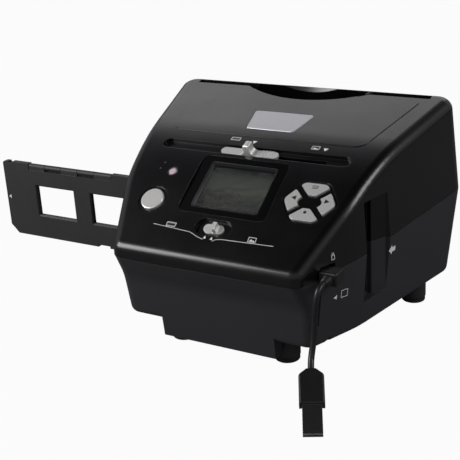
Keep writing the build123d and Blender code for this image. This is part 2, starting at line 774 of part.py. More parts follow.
with BuildPart() as case_screws:
    for post in (front_post, rear_post):
        with BuildSketch(Plane.XY.offset(web_z[post] - screw_head_height)):
            with Locations(*[(s * post[0], post[1]) for s in (-1, 1)]):
                Circle(screw_head_radius)
                RegularPolygon(1.2, 6, mode=Mode.SUBTRACT)
        extrude(amount=screw_head_height)
        with BuildSketch(Plane.XY.offset(web_z[post] - screw_head_height / 2)):
            with Locations(*[(s * post[0], post[1]) for s in (-1, 1)]):
                Circle(screw_radius)
        extrude(amount=screw_length + screw_head_height / 2 - 0.5)

# ================================================================ badge plate
with BuildPart() as badge_plate:
    with BuildSketch(panel_plane(0, badge_y, badge_thickness - badge_proud)):
        add(badge_outline)
    extrude(amount=badge_thickness)
    chamfer(badge_plate.faces().sort_by(Axis((0, 0, 0), badge_plane.z_dir))[-1].edges(), 0.3)

# ================================================================ display
with BuildPart() as display_frame:
    with BuildSketch(panel_plane(0, display_y, display_floor)):
        RectangleRounded(display_frame_width, display_frame_height, display_frame_radius)
    extrude(amount=display_frame_thickness)
    with BuildSketch(panel_plane(0, display_y, display_floor)):
        Rectangle(module_width + 2 * seat, module_height + 2 * seat)
    extrude(amount=display_frame_thickness - display_bevel, mode=Mode.SUBTRACT)
    with BuildSketch(panel_plane(0, display_y, display_sink + display_bevel)):
        RectangleRounded(display_view_width, display_view_height, 0.5)
    with BuildSketch(panel_plane(0, display_y, display_sink)):
        RectangleRounded(display_view_width + 2 * display_bevel,
                         display_view_height + 2 * display_bevel, 1.5)
    loft(ruled=True, mode=Mode.SUBTRACT)

with BuildPart() as display_glass:
    with BuildSketch(panel_plane(0, display_y, display_sink + display_bevel)):
        Rectangle(module_width, module_height)
    extrude(amount=-glass_thickness)

with BuildPart() as display_panel:
    with BuildSketch(panel_plane(0, display_y, display_sink + display_bevel + glass_thickness)):
        Rectangle(module_width, module_height)
    extrude(amount=-module_thickness)

# ================================================================ scan button and lamp
with BuildPart() as scan_button:
    place = panel_plane(button_x, button_y, wall + flange_thickness + fit)
    with BuildSketch(place):
        Circle(button_radius + flange_reach)
    extrude(amount=flange_thickness)
    with BuildSketch(place):
        Circle(button_radius)
    extrude(amount=wall + flange_thickness + fit + button_proud)
    fillet(scan_button.faces().sort_by(Axis((0, 0, 0), place.z_dir))[-1].edges(), 0.7)

with BuildPart() as lamp_lens:
    place = panel_plane(lamp_x, lamp_y, wall + 1.0)
    with BuildSketch(place):
        Circle(lamp_radius)
    extrude(amount=wall + 1.0 + lamp_proud)
    fillet(lamp_lens.faces().sort_by(Axis((0, 0, 0), place.z_dir))[-1].edges(), 1.0)

with BuildPart() as lamp_ring:
    place = panel_plane(lamp_x, lamp_y, button_rim_depth)
    with BuildSketch(place):
        Circle(lamp_ring_radius)
        Circle(lamp_radius + fit, mode=Mode.SUBTRACT)
    extrude(amount=button_rim_depth + lamp_proud / 2)


def key_board(place, half_across, half_up, plungers, key_back, travel):
    """Board behind keys whose backs lie key_back below the panel, with one press switch each."""
    x, y = place
    tip = key_back + travel + seat
    with BuildPart() as board:
        with BuildSketch(panel_plane(x, y, key_board_depth)):
            Rectangle(2 * half_across, 2 * half_up)
        extrude(amount=-board_thickness)
        with BuildSketch(panel_plane(x, y, key_board_depth)):
            with Locations(*plungers):
                Rectangle(4.5, 4.5)
        extrude(amount=key_board_depth - tip - 1.2)
        with BuildSketch(panel_plane(x, y, key_board_depth)):
            with Locations(*plungers):
                Circle(1.5)
        extrude(amount=key_board_depth - tip)
    return board.part


key_back = wall + flange_thickness + fit
scan_board = key_board((button_x, button_y), 12.0, 12.0, [(0, 0)], key_back, button_travel)

# ================================================================ keys
key_middle = {"up": (0, 10.2), "down": (0, -10.2), "left": (-13.6, 0), "right": (13.6, 0)}


def key(name):
    with BuildPart() as cap:
        with BuildSketch(panel_plane(pad_x, pad_y, key_back)):
            add(key_face(name, flange_reach))
        extrude(amount=flange_thickness)
        with BuildSketch(panel_plane(pad_x, pad_y, key_back)):
            add(key_face(name))
        extrude(amount=key_back + key_proud)
    return cap.part


pad_board = key_board((pad_x, pad_y), key_board_half_width, key_board_half_height,
                      list(key_middle.values()), key_back, key_travel)

# ================================================================ function switch
with BuildPart() as function_knob:
    floor = switch_sink - slide_gap
    with BuildSketch(panel_plane(switch_knob_x, switch_y, floor)):
        SlotOverall(switch_knob_length, switch_knob_width)
    extrude(amount=switch_knob_thickness)
    with BuildSketch(panel_plane(switch_knob_x + switch_fin_offset, switch_y, floor)):
        RectangleRounded(switch_fin_width, switch_knob_width, 0.8)
    extrude(amount=switch_knob_thickness + switch_fin_height, taper=4)
    with BuildSketch(panel_plane(switch_knob_x, switch_y, floor)):
        Rectangle(switch_stem, switch_stem)
    extrude(amount=-(wall + 2 * slide_gap))

with BuildPart() as switch_body:
    top = switch_sink + wall + slide_gap + seat
    with BuildSketch(panel_plane(switch_knob_x - switch_travel / 2, switch_y, top)):
        Rectangle(switch_body_length, switch_body_width)
    extrude(amount=-switch_body_depth)

# ================================================================ mode slider with its stem
with BuildPart() as slider_knob:
    floor_plane = panel_plane(slider_x, slider_y, slider_slot_depth - slide_gap)
    section = Plane(origin=floor_plane.origin, x_dir=(1, 0, 0), z_dir=-floor_plane.y_dir)
    half, root, tip = slider_length / 2, slider_fin_width / 2 + slider_fin_root, slider_fin_width / 2
    top = slider_thickness + slider_fin_height
    with BuildSketch(section):
        with BuildLine():
            Polyline((-half, 0), (half, 0), (half, slider_thickness), (root, slider_thickness))
            TangentArc((root, slider_thickness), (tip, slider_thickness + slider_fin_root), tangent=(-1, 0))
            Polyline((tip, slider_thickness + slider_fin_root), (tip, top), (-tip, top),
                     (-tip, slider_thickness + slider_fin_root))
            TangentArc((-root, slider_thickness), (-tip, slider_thickness + slider_fin_root), tangent=(1, 0))
            Polyline((-root, slider_thickness), (-half, slider_thickness), (-half, 0))
        make_face()
        for i in range(rib_count):
            with Locations((half - 5.0 - i * rib_pitch, slider_thickness)):
                Rectangle(rib_pitch / 2, 2 * rib_height)
    extrude(amount=slider_width / 2, both=True)
    with BuildSketch(floor_plane):
        SlotOverall(slider_length, slider_width)
    extrude(amount=top, mode=Mode.INTERSECT)
    fin_top = slider_knob.faces().sort_by(Axis((0, 0, 0), floor_plane.z_dir))[-1]
    fillet(fin_top.edges(), 1.3)
    with BuildSketch(floor_plane):
        Rectangle(slider_stem_width, slider_stem_thickness)
    extrude(amount=-(wall + slide_gap + 0.4))
stem_end = panel_plane(slider_x, slider_y, slider_slot_depth + wall + 0.4)

# ================================================================ backlight carriage on its rods
carriage_front_y = rod_y - carriage_thickness / 2
with BuildPart() as backlight_carriage:
    with BuildSketch(Plane.XZ.offset(-carriage_front_y - carriage_thickness)):
        with Locations((slider_x, (upper_rod_z + lower_rod_z) / 2)):
            Rectangle(2 * carriage_half_width, upper_rod_z - lower_rod_z)
    extrude(amount=carriage_thickness)
    for z in (upper_rod_z, lower_rod_z):
        with BuildSketch(Plane.YZ.offset(slider_x - carriage_half_width)):
            with Locations((rod_y, z)):
                Circle(carriage_boss_radius)
        extrude(amount=2 * carriage_half_width)
    with BuildSketch(Plane.YZ.offset(slider_x - slider_stem_width / 2)):
        end = stem_end.origin
        back = stem_end.y_dir
        corner_a = end + back * (slider_stem_thickness / 2)
        corner_b = end - back * (slider_stem_thickness / 2)
        with BuildLine():
            Polyline((corner_a.Y, corner_a.Z), (corner_b.Y, corner_b.Z),
                     (rod_y - 1.5, upper_rod_z + 2.0), (rod_y + 1.5, upper_rod_z + 2.0), close=True)
        make_face()
    extrude(amount=slider_stem_width)
    for z in (upper_rod_z, lower_rod_z):
        with BuildSketch(Plane.YZ.offset(-100)):
            with Locations((rod_y, z)):
                Circle(rod_radius + fit)
        extrude(amount=200, mode=Mode.SUBTRACT)
    with BuildSketch(Plane.XZ.offset(-carriage_front_y - 1.0)):
        with Locations((slider_x, optical_z)):
            Rectangle(diffuser_width + 2 * fit, diffuser_height + 2 * fit)
    extrude(amount=10, mode=Mode.SUBTRACT)

with BuildPart() as backlight_diffuser:
    with BuildSketch(Plane.XZ.offset(-carriage_front_y - 1.0)):
        with Locations((slider_x, optical_z)):
            Rectangle(diffuser_width, diffuser_height)
    extrude(amount=diffuser_thickness)


def guide_rod(z):
    with BuildPart() as rod:
        with BuildSketch(Plane.YZ.offset(-rod_half_length)):
            with Locations((rod_y, z)):
                Circle(rod_radius)
        extrude(amount=2 * rod_half_length)
        chamfer(rod.edges().filter_by(GeomType.CIRCLE), 0.4)
    return rod.part


# ================================================================ film channel
with BuildPart() as film_gate_front:
    with BuildSketch(Plane.XZ.offset(-gate_front_y)):
        with Locations((0, (inner_floor_z + gate_top_z) / 2)):
            Rectangle(2 * gate_half_length, gate_top_z - inner_floor_z)
        with Locations((0, optical_z)):
            Rectangle(2 * gate_half_width, 2 * gate_half_height, mode=Mode.SUBTRACT)
    extrude(amount=gate_thickness)

with BuildPart() as film_gate_rear:
    with BuildSketch(Plane.XZ.offset(-gate_rear_y - gate_thickness)):
        with Locations((0, (inner_floor_z + gate_top_z) / 2)):
            Rectangle(2 * gate_half_length, gate_top_z - inner_floor_z)
        with Locations((0, optical_z)):
            Rectangle(2 * gate_half_width, 2 * gate_half_height, mode=Mode.SUBTRACT)
    extrude(amount=gate_thickness)
    # floor and roof of the channel
    with BuildSketch(Plane.XY.offset(inner_floor_z)):
        with Locations((0, (gate_front_y + gate_rear_y) / 2)):
            Rectangle(2 * gate_half_length, gate_rear_y - gate_front_y)
    extrude(amount=holder_bottom_z - rail_clearance - inner_floor_z)
    with BuildSketch(Plane.XY.offset(holder_top_z + rail_clearance)):
        with Locations((0, (gate_front_y + gate_rear_y) / 2)):
            Rectangle(2 * gate_half_length, gate_rear_y - gate_front_y)
    extrude(amount=gate_top_z - holder_top_z - rail_clearance)
    # lugs that carry the two rods
    lug_rear_y = rod_y + rod_radius + 2.5
    for side in (-1, 1):
        for z in (upper_rod_z, lower_rod_z):
            with BuildSketch(Plane.XZ.offset(-gate_rear_y - gate_thickness)):
                with Locations((side * (lug_x + lug_thickness / 2 - 0.5), z)):
                    Rectangle(lug_thickness, 2 * rod_radius + 6)
            extrude(amount=-(lug_rear_y - gate_rear_y - gate_thickness))
    for z in (upper_rod_z, lower_rod_z):
        with BuildSketch(Plane.YZ.offset(-100)):
            with Locations((rod_y, z)):
                Circle(rod_radius + fit)
        extrude(amount=200, mode=Mode.SUBTRACT)


# ================================================================ film holder
picture_xs = [first_picture_x + i * picture_pitch for i in range(picture_count)]


def leaf(front):
    """One leaf of the film holder, its film face on the holder's mid plane."""
    face_y = film_y - leaf_thickness if front else film_y
    with BuildPart() as sheet:
        with BuildSketch(Plane.XZ.offset(-face_y - leaf_thickness)):
            with BuildLine():
                Polyline((holder_left_x, holder_bottom_z + holder_chamfer),
                         (holder_left_x + holder_chamfer, holder_bottom_z),
                         (holder_right_x, holder_bottom_z), (holder_right_x, holder_top_z),
                         (hinge_right_x + knuckle_gap, holder_top_z),
                         (hinge_right_x + knuckle_gap, holder_top_z - hinge_recess),
                         (hinge_left_x - knuckle_gap, holder_top_z - hinge_recess),
                         (hinge_left_x - knuckle_gap, holder_top_z),
                         (holder_left_x, holder_top_z), close=True)
            make_face()
            fillet(vertices().group_by(Axis.X)[0].sort_by(Axis.Y)[-1:], holder_corner)
            fillet(vertices().group_by(Axis.X)[-1], holder_corner)
            with Locations((finger_notch_x, holder_top_z)):
                Rectangle(finger_notch_width, 2 * finger_notch_depth, mode=Mode.SUBTRACT)
            for i in range(detent_count):
                with Locations((detent_x + i * picture_pitch, holder_bottom_z)):
                    Rectangle(detent_width, 2 * detent_depth, mode=Mode.SUBTRACT)
            for x in picture_xs:
                with Locations((x, optical_z)):
                    Rectangle(picture_width, picture_height, mode=Mode.SUBTRACT)
        extrude(amount=leaf_thickness)
        rims = sheet.faces().sort_by(Axis.Y)[0 if front else -1].inner_wires()
        chamfer([e for w in rims for e in w.edges()], picture_bevel)
        if not front:
            with BuildSketch(Plane.XZ.offset(-film_y - film_depth)):
                with Locations(((picture_xs[0] + picture_xs[-1]) / 2, optical_z)):
                    Rectangle(picture_xs[-1] - picture_xs[0] + picture_width + 8, film_width)
            extrude(amount=film_depth + 1, mode=Mode.SUBTRACT)
        step = (hinge_right_x - hinge_left_x) / hinge_knuckles
        barrel_z = holder_top_z - hinge_barrel_radius
        for i in range(hinge_knuckles):
            start = hinge_left_x + i * step + knuckle_gap / 2
            if (i % 2 == 0) == front:
                with BuildSketch(Plane.YZ.offset(start)):
                    with Locations((film_y, barrel_z)):
                        Circle(hinge_barrel_radius)
                    with Locations((film_y + (-1 if front else 1) * hinge_barrel_radius / 2,
                                    (barrel_z + holder_top_z - hinge_recess) / 2)):
                        Rectangle(hinge_barrel_radius, barrel_z - holder_top_z + hinge_recess)
                extrude(amount=step - knuckle_gap)
        with BuildSketch(Plane.YZ.offset(hinge_left_x)):
            with Locations((film_y, barrel_z)):
                Circle(hinge_pin_radius + fit)
        extrude(amount=hinge_right_x - hinge_left_x, mode=Mode.SUBTRACT)
    return sheet.part


with BuildPart() as hinge_pin:
    with BuildSketch(Plane.YZ.offset(hinge_left_x)):
        with Locations((film_y, holder_top_z - hinge_barrel_radius)):
            Circle(hinge_pin_radius)
    extrude(amount=hinge_right_x - hinge_left_x)

# ================================================================ camera
lens_rear_y = lens_front_y - lens_length
board_rear_y = lens_rear_y - board_thickness
with BuildPart() as lens_barrel:
    with BuildSketch(Plane.XZ.offset(-lens_front_y)):
        with Locations((0, optical_z)):
            Circle(lens_radius)
    extrude(amount=lens_length)
    with BuildSketch(Plane.XZ.offset(-lens_front_y)):
        with Locations((0, optical_z)):
            Circle(lens_front_radius)
    extrude(amount=lens_front_length)
    with BuildSketch(Plane.XZ.offset(-lens_front_y)):
        with Locations((0, optical_z)):
            Circle(lens_front_radius - 2)
    extrude(amount=1.5, taper=30, mode=Mode.SUBTRACT)

with BuildPart() as camera_board:
    with BuildSketch(Plane.XZ.offset(-lens_rear_y)):
        with Locations((0, optical_z)):
            Rectangle(camera_board_size, camera_board_size)
    extrude(amount=board_thickness)

with BuildPart() as camera_bracket:
    with BuildSketch(Plane.YZ):
        back = board_rear_y
        with BuildLine():
            Polyline((back, bracket_top_z), (back - bracket_thickness, bracket_top_z),
                     (back - bracket_thickness, inner_floor_z), (back + bracket_foot, inner_floor_z),
                     (back + bracket_foot, inner_floor_z + bracket_thickness),
                     (back, inner_floor_z + bracket_thickness), close=True)
        make_face()
    extrude(amount=bracket_half_width, both=True)

# ================================================================ boards and sockets
with BuildPart() as main_board:
    with BuildSketch(Plane.XZ.offset(-board_y - board_thickness)):
        with Locations(((board_left_x + board_right_x) / 2, (board_bottom_z + board_top_z) / 2)):
            Rectangle(board_right_x - board_left_x, board_top_z - board_bottom_z)
    extrude(amount=board_thickness)
    with BuildSketch(Plane.XZ.offset(-board_y - board_thickness)):
        with Locations((-18, 46)):
            Rectangle(16, 16)
        with Locations((14, 50)):
            Rectangle(12, 9)
    extrude(amount=-1.4)

socket_rear_x = port_x - plug_gap - socket_length
port_board_front_y = port_y - socket_width / 2 - 0.4
port_board_z = port_z - socket_height / 2 - board_thickness
with BuildPart() as port_board:
    with BuildSketch(Plane.XY.offset(port_board_z)):
        with Locations(((port_board_left_x + port_x - wall - seat) / 2, port_y)):
            Rectangle(port_x - wall - seat - port_board_left_x, socket_width + 0.6)
    extrude(amount=board_thickness)

with BuildPart() as usb_socket:
    with BuildSketch(Plane.YZ.offset(socket_rear_x)):
        with Locations((port_y, port_z)):
            Rectangle(socket_width, socket_height)
    extrude(amount=socket_length)
    with BuildSketch(Plane.YZ.offset(port_x - plug_gap)):
        with Locations((port_y, port_z)):
            Rectangle(tip_width + 2 * fit, tip_height + 2 * fit)
    extrude(amount=-(tip_length + seat), mode=Mode.SUBTRACT)

with BuildPart() as card_socket:
    middle_x = (card_socket_left_x + card_socket_right_x) / 2
    with BuildSketch(Plane.XZ.offset(-board_y)):
        with Locations((middle_x, card_z)):
            Rectangle(card_socket_right_x - card_socket_left_x, card_socket_height)
    extrude(amount=card_socket_depth)
    with BuildSketch(Plane.YZ.offset(card_socket_right_x)):
        with Locations((card_y, card_z)):
            Rectangle(card_slit_width - 0.4, card_slit_height - 0.4)
    extrude(amount=-(card_socket_right_x - card_socket_left_x - 1.5), mode=Mode.SUBTRACT)


# ================================================================ photo rails and lamps
def photo_rail(side):
    """Upright U-shaped rail that takes one end of a photo holder, closed at its foot."""
    lip_x = slot_half_length - rail_depth
    with BuildPart() as rail:
        with BuildSketch(Plane.XY.offset(inner_floor_z)):
            with Locations((side * (lip_x + slot_half_length + rail_lip) / 2, slot_y)):
                Rectangle(rail_depth + rail_lip, slot_width + 2 * (rail_lip - 0.6))
        extrude(amount=rail_top_z - inner_floor_z)
        with BuildSketch(Plane.XY.offset(inner_floor_z + rail_floor)):
            with Locations((side * (lip_x + slot_half_length) / 2 - side * 1, slot_y)):
                Rectangle(rail_depth + 2, slot_width)
        extrude(amount=rail_top_z, mode=Mode.SUBTRACT)
        heel = rail.edges().filter_by(Axis.X).group_by(Axis.Z)[0].sort_by(Axis.Y)[-1]
        chamfer(heel, bottom_radius - wall)
    return rail.part


rail_top_z = panel(slot_front_y)[0] - collar_depth - 2.6


def light_bar(side):
    with BuildPart() as bar:
        with BuildSketch(Plane.XY.offset(inner_floor_z)):
            with Locations((side * light_x, light_y)):
                Rectangle(light_width, light_depth)
        extrude(amount=light_height)
    return bar.part


# ================================================================ plug and lead
with BuildPart() as usb_plug:
    with BuildSketch(Plane.YZ.offset(port_x + plug_gap)):
        with Locations((port_y, port_z)):
            RectangleRounded(plug_width, plug_height, plug_radius)
    extrude(amount=plug_length)
    fillet(usb_plug.faces().sort_by(Axis.X)[-1].edges(), 1.2)

with BuildPart() as usb_plug_tip:
    with BuildSketch(Plane.YZ.offset(port_x + plug_gap)):
        with Locations((port_y, port_z)):
            Rectangle(tip_width, tip_height)
    extrude(amount=-(tip_length + plug_gap))

boot_y = port_y - plug_width / 2
with BuildPart() as plug_boot:
    with BuildSketch(Plane.XZ.offset(-boot_y)):
        with Locations((boot_x, port_z)):
            Circle(boot_start_radius)
    with BuildSketch(Plane.XZ.offset(-boot_y + boot_length)):
        with Locations((boot_x, port_z)):
            Circle(boot_end_radius)
    loft()

heading, dip = math.radians(far_heading), math.radians(far_dip)
far_axis = Vector(math.cos(heading) * math.cos(dip), math.sin(heading) * math.cos(dip), -math.sin(dip))
entry = Vector(*far_entry)
cable_points = [
    (boot_x, boot_y - boot_length, port_z),
    (boot_x, boot_y - boot_length - 3.7, port_z),
    (81.7, -92.1, 71.6),
    (81.2, -93.7, 67.3),
    (80.6, -94.3, 60.8),
    (80.2, -94.7, 52.2),
    (79.9, -95.6, 43.6),
    (79.7, -97.0, 37.2),
    (79.6, -98.9, 32.0),
    tuple(entry - far_axis * far_run),
    tuple(entry),
]


def tube_radii(points):
    """Largest radii that neighbouring runs allow, one for each inner point of the route."""
    radii = []
    for a, b, c in zip(points, points[1:], points[2:]):
        before, after = Vector(*b) - Vector(*a), Vector(*c) - Vector(*b)
        half_turn = math.radians(before.get_angle(after)) / 2
        radii.append(0.45 * min(before.length, after.length) / math.tan(half_turn))
    return radii


with BuildPart() as cable:
    with BuildLine() as route:
        FilletPolyline(*cable_points, radius=tube_radii(cable_points))
    with BuildSketch(Plane(origin=cable_points[0], z_dir=(0, -1, 0))):
        Circle(cable_radius)
    sweep(path=route.wires()[0])
print("cable radii", [round(r, 1) for r in tube_radii(cable_points)])
print("cable length", round(route.wires()[0].length, 1), "volume against section times length",
      round(cable.part.volume / (math.pi * cable_radius ** 2 * route.wires()[0].length), 4))

across = far_axis.cross(Vector(0, 0, 1)).normalized()
far_plane = Plane(origin=entry, x_dir=across, z_dir=across.cross(far_axis))
with BuildPart() as lead_plug:
    neck, half = cable_radius + 0.9, far_width / 2
    with BuildSketch(far_plane):
        with BuildLine():
            Polyline((neck, 0), (half, far_shoulder), (half, far_length), (-half, far_length),
                     (-half, far_shoulder), (-neck, 0), close=True)
        make_face()
        shoulders = [v for v in vertices() if abs(v.X) > half - 0.1 and v.Y < far_length / 2]
        fillet(shoulders, 3.0)
    extrude(amount=far_height / 2, both=True)
    fillet([e for e in lead_plug.edges() if abs((e.center() - entry).dot(far_plane.z_dir)) > far_height / 2 - 0.1],
           1.4)

nose = entry + far_axis * far_length
with BuildPart() as lead_plug_shell:
    with BuildSketch(Plane(origin=nose, x_dir=across, z_dir=far_axis)):
        Rectangle(far_shell_width, far_shell_height)
    extrude(amount=far_shell_length)
    with BuildSketch(Plane(origin=nose + far_axis * far_shell_length, x_dir=across, z_dir=far_axis)):
        with Locations((0, 0.9)):
            Rectangle(far_shell_width - 0.8, far_shell_height - 2.6)
    extrude(amount=-(far_shell_length - 4), mode=Mode.SUBTRACT)
print("lowest point of the lead", round(lead_plug_shell.part.bounding_box().min.Z, 2))

# ================================================================ written pieces
pieces = {
    "upper_shell": upper_shell.part,
    "lower_shell": lower_shell.part,
    "foot_front_left": foot((-front_leg[0], front_leg[1])),
    "foot_front_right": foot(front_leg),
    "foot_rear_left": foot((-rear_leg[0], rear_leg[1])),
    "foot_rear_right": foot(rear_leg),
    "case_screws": case_screws.part,
    "badge_plate": badge_plate.part,
    "display_frame": display_frame.part,
    "display_glass": display_glass.part,
    "display_panel": display_panel.part,
    "scan_button": scan_button.part,
    "scan_board": scan_board,
    "lamp_lens": lamp_lens.part,
    "lamp_ring": lamp_ring.part,
    "key_up": key("up"),
    "key_down": key("down"),
    "key_left": key("left"),
    "key_right": key("right"),
    "key_board": pad_board,
    "function_knob": function_knob.part,
    "switch_body": switch_body.part,
    "slider_knob": slider_knob.part,
    "backlight_carriage": backlight_carriage.part,
    "backlight_diffuser": backlight_diffuser.part,
    "guide_rod_upper": guide_rod(upper_rod_z),
    "guide_rod_lower": guide_rod(lower_rod_z),
    "film_gate_front": film_gate_front.part,
    "film_gate_rear": film_gate_rear.part,
    "holder_front_leaf": leaf(True),
    "holder_rear_leaf": leaf(False),
    "holder_hinge_pin": hinge_pin.part,
    "lens_barrel": lens_barrel.part,
    "camera_board": camera_board.part,
    "camera_bracket": camera_bracket.part,
    "main_board": main_board.part,
    "port_board": port_board.part,
    "usb_socket": usb_socket.part,
    "card_socket": card_socket.part,
    "photo_rail_left": photo_rail(-1),
    "photo_rail_right": photo_rail(1),
    "light_bar_left": light_bar(-1),
    "light_bar_right": light_bar(1),
    "usb_plug": usb_plug.part,
    "usb_plug_tip": usb_plug_tip.part,
    "plug_boot": plug_boot.part,
    "lead_cable": cable.part,
    "lead_plug": lead_plug.part,
    "lead_plug_shell": lead_plug_shell.part,
}
for name, piece in pieces.items():
    piece.label = name
    export_step(piece, f"parts/{name}.step")
print(len(pieces), "pieces written")
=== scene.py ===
import logging
import math
from dataclasses import dataclass
from enum import Enum
from typing import Any

import bpy
import numpy as np
from mathutils import Matrix, Vector


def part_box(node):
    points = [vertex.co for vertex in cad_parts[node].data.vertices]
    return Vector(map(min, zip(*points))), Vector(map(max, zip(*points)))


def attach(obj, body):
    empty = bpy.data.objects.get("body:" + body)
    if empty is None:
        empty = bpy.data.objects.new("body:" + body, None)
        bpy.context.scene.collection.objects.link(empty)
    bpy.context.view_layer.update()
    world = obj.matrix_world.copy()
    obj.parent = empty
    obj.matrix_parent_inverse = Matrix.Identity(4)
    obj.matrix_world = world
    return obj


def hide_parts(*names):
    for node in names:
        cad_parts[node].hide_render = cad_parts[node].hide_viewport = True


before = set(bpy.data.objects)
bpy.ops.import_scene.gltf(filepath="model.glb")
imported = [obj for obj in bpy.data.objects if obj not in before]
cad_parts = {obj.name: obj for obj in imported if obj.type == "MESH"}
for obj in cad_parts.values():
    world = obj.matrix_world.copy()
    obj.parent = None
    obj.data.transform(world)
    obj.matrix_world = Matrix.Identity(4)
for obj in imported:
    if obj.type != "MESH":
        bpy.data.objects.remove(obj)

# The look of a desktop film and photo scanner: two black shells with a display, silver keys and
# sliders, a film holder that runs through the sides, and a short lead in the socket on the right.
# Lengths are metres unless a name ends in _mm. The frame's nodes keep their shape and get their
# finishes here; the prints, the strain relief and the lead's cable are made here.

LOG = logging.getLogger("scanner")
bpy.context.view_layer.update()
MM = 0.001
WEAR_MM = 28.0  # size of the patches where handling has changed the gloss of a moulding
UNDER_SKIN_MM = 0.08  # how far a print's lower side lies inside the skin


# ================================================================ small tools
def linear(colour: str, alpha: float = 1.0) -> tuple[float, float, float, float]:
    """Turn an sRGB hex colour into the linear colour that the shaders take.

    Args:
        colour: the colour as "#rrggbb".
        alpha: the fourth value of the result.

    Returns:
        Linear red, green, blue and alpha.
    """
    parts = [int(colour[i:i + 2], 16) / 255 for i in (1, 3, 5)]
    r, g, b = (c / 12.92 if c <= 0.04045 else ((c + 0.055) / 1.055) ** 2.4 for c in parts)
    return r, g, b, alpha


def put(tree: bpy.types.NodeTree, kind: str, inputs: dict[Any, Any] | None = None,
        **settings: Any) -> bpy.types.Node:
    """Add one node with its settings, values and links.

    Args:
        tree: the node tree that takes the node.
        kind: the node's type name.
        inputs: by input name or number, a value or the output socket to link from.
        settings: the node's own properties.

    Returns:
        The new node.
    """
    node = tree.nodes.new(kind)
    for name, value in settings.items():
        setattr(node, name, value)
    for name, value in (inputs or {}).items():
        if isinstance(value, bpy.types.NodeSocket):
            tree.links.new(value, node.inputs[name])
        else:
            node.inputs[name].default_value = value
    return node


def ramp(tree: bpy.types.NodeTree, factor: bpy.types.NodeSocket,
         stops: tuple[tuple[float, str], ...]) -> bpy.types.NodeSocket:
    """Colour along a factor.

    Args:
        tree: the node tree that takes the ramp.
        factor: the socket with the place along the ramp, 0 to 1.
        stops: places and sRGB hex colours.

    Returns:
        The ramp's colour socket.
    """
    node = put(tree, "ShaderNodeValToRGB", {"Fac": factor})
    elements = node.color_ramp.elements
    while len(elements) < len(stops):
        elements.new(0.5)
    for element, (place, colour) in zip(elements, stops):
        element.position = place
        element.color = linear(colour)
    return node.outputs["Color"]


def new_material(name: str) -> tuple[bpy.types.Material, bpy.types.NodeTree,
                                     bpy.types.NodeSocket]:
    """An empty node material.

    Args:
        name: the material's name.

    Returns:
        The material, its node tree and the socket with Object coordinates in metres.
    """
    material = bpy.data.materials.new(name)
    material.use_nodes = True
    tree = material.node_tree
    tree.nodes.clear()
    place = put(tree, "ShaderNodeTexCoord").outputs["Object"]
    return material, tree, place


def close(tree: bpy.types.NodeTree, shader: bpy.types.Node) -> None:
    """Link a shader to the material's output."""
    put(tree, "ShaderNodeOutputMaterial", {"Surface": shader.outputs[0]})


def between(tree: bpy.types.NodeTree, value: bpy.types.NodeSocket, low: float,
            high: float) -> bpy.types.NodeSocket:
    """Spread a noise value over a range.

    Args:
        tree: the node tree.
        value: a noise's output, which lies mostly between 0.3 and 0.7.
        low: the result at 0.3.
        high: the result at 0.7.

    Returns:
        The socket with the result.
    """
    return put(tree, "ShaderNodeMapRange", {"Value": value, "From Min": 0.3, "From Max": 0.7,
                                            "To Min": low, "To Max": high}).outputs["Result"]


def solid(name: str, points: np.ndarray, faces: list[tuple[int, ...]]) -> bpy.types.Object:
    """A mesh object at the origin from point and face arrays.

    Args:
        name: the piece's name.
        points: n by 3 array in metres.
        faces: corner numbers, counter-clockwise seen from outside.

    Returns:
        The object, linked to the scene.
    """
    mesh = bpy.data.meshes.new(name)
    mesh.from_pydata(points.tolist(), [], faces)
    mesh.validate()
    mesh.update()
    made = bpy.data.objects.new(name, mesh)
    bpy.context.scene.collection.objects.link(made)
    return made


def dress(piece: bpy.types.Object, material: bpy.types.Material) -> None:
    """Give a piece or a frame node its one material."""
    slots = piece.material_slots
    if len(slots) == 0:
        piece.data.materials.append(material)
    for slot in slots:
        slot.material = material


# ================================================================ finishes
@dataclass(frozen=True)
class Moulding:
    """Injection-moulded plastic or rubber: one body colour, a fine mould texture that breaks the
    reflection, and a slow change of gloss where the part is handled."""

    name: str
    colour: str
    mottle: str
    roughness: float
    spread: float = 0.05
    grain_mm: float = 0.35
    relief_mm: float = 0.004
    edge_mm: float = 0.35
    ior: float = 1.5

    def build(self) -> bpy.types.Material:
        """Grain is noise at the grain size, as bump over a rounded edge and as mottle in the
        colour. Gloss follows noise of WEAR_MM."""
        material, tree, place = new_material(self.name)
        grain = put(tree, "ShaderNodeTexNoise",
                    {"Vector": place, "Scale": 1 / (self.grain_mm * MM), "Detail": 3.0})
        wear = put(tree, "ShaderNodeTexNoise",
                   {"Vector": place, "Scale": 1 / (WEAR_MM * MM), "Detail": 4.0,
                    "Roughness": 0.55})
        tint = put(tree, "ShaderNodeMix",
                   {0: between(tree, grain.outputs[0], 0.0, 1.0), 6: linear(self.colour),
                    7: linear(self.mottle)}, data_type="RGBA")
        rounded = put(tree, "ShaderNodeBevel", {"Radius": self.edge_mm * MM}, samples=4)
        bump = put(tree, "ShaderNodeBump",
                   {"Strength": 1.0, "Distance": self.relief_mm * MM, "Height": grain.outputs[0],
                    "Normal": rounded.outputs[0]})
        close(tree, put(tree, "ShaderNodeBsdfPrincipled",
                        {"Base Color": tint.outputs[2],
                         "Roughness": between(tree, wear.outputs[0], self.roughness - self.spread,
                                              self.roughness + self.spread),
                         "IOR": self.ior, "Normal": bump.outputs["Normal"]}))
        return material


class Working(Enum):
    """How a metal surface was made, with the stretch of its marks along X, Y and Z."""

    BRUSHED_ALONG_X = (0.03, 1.0, 1.0)
    GROUND_ROUND_X = (1.0, 0.12, 0.12)
    BLASTED = (1.0, 1.0, 1.0)


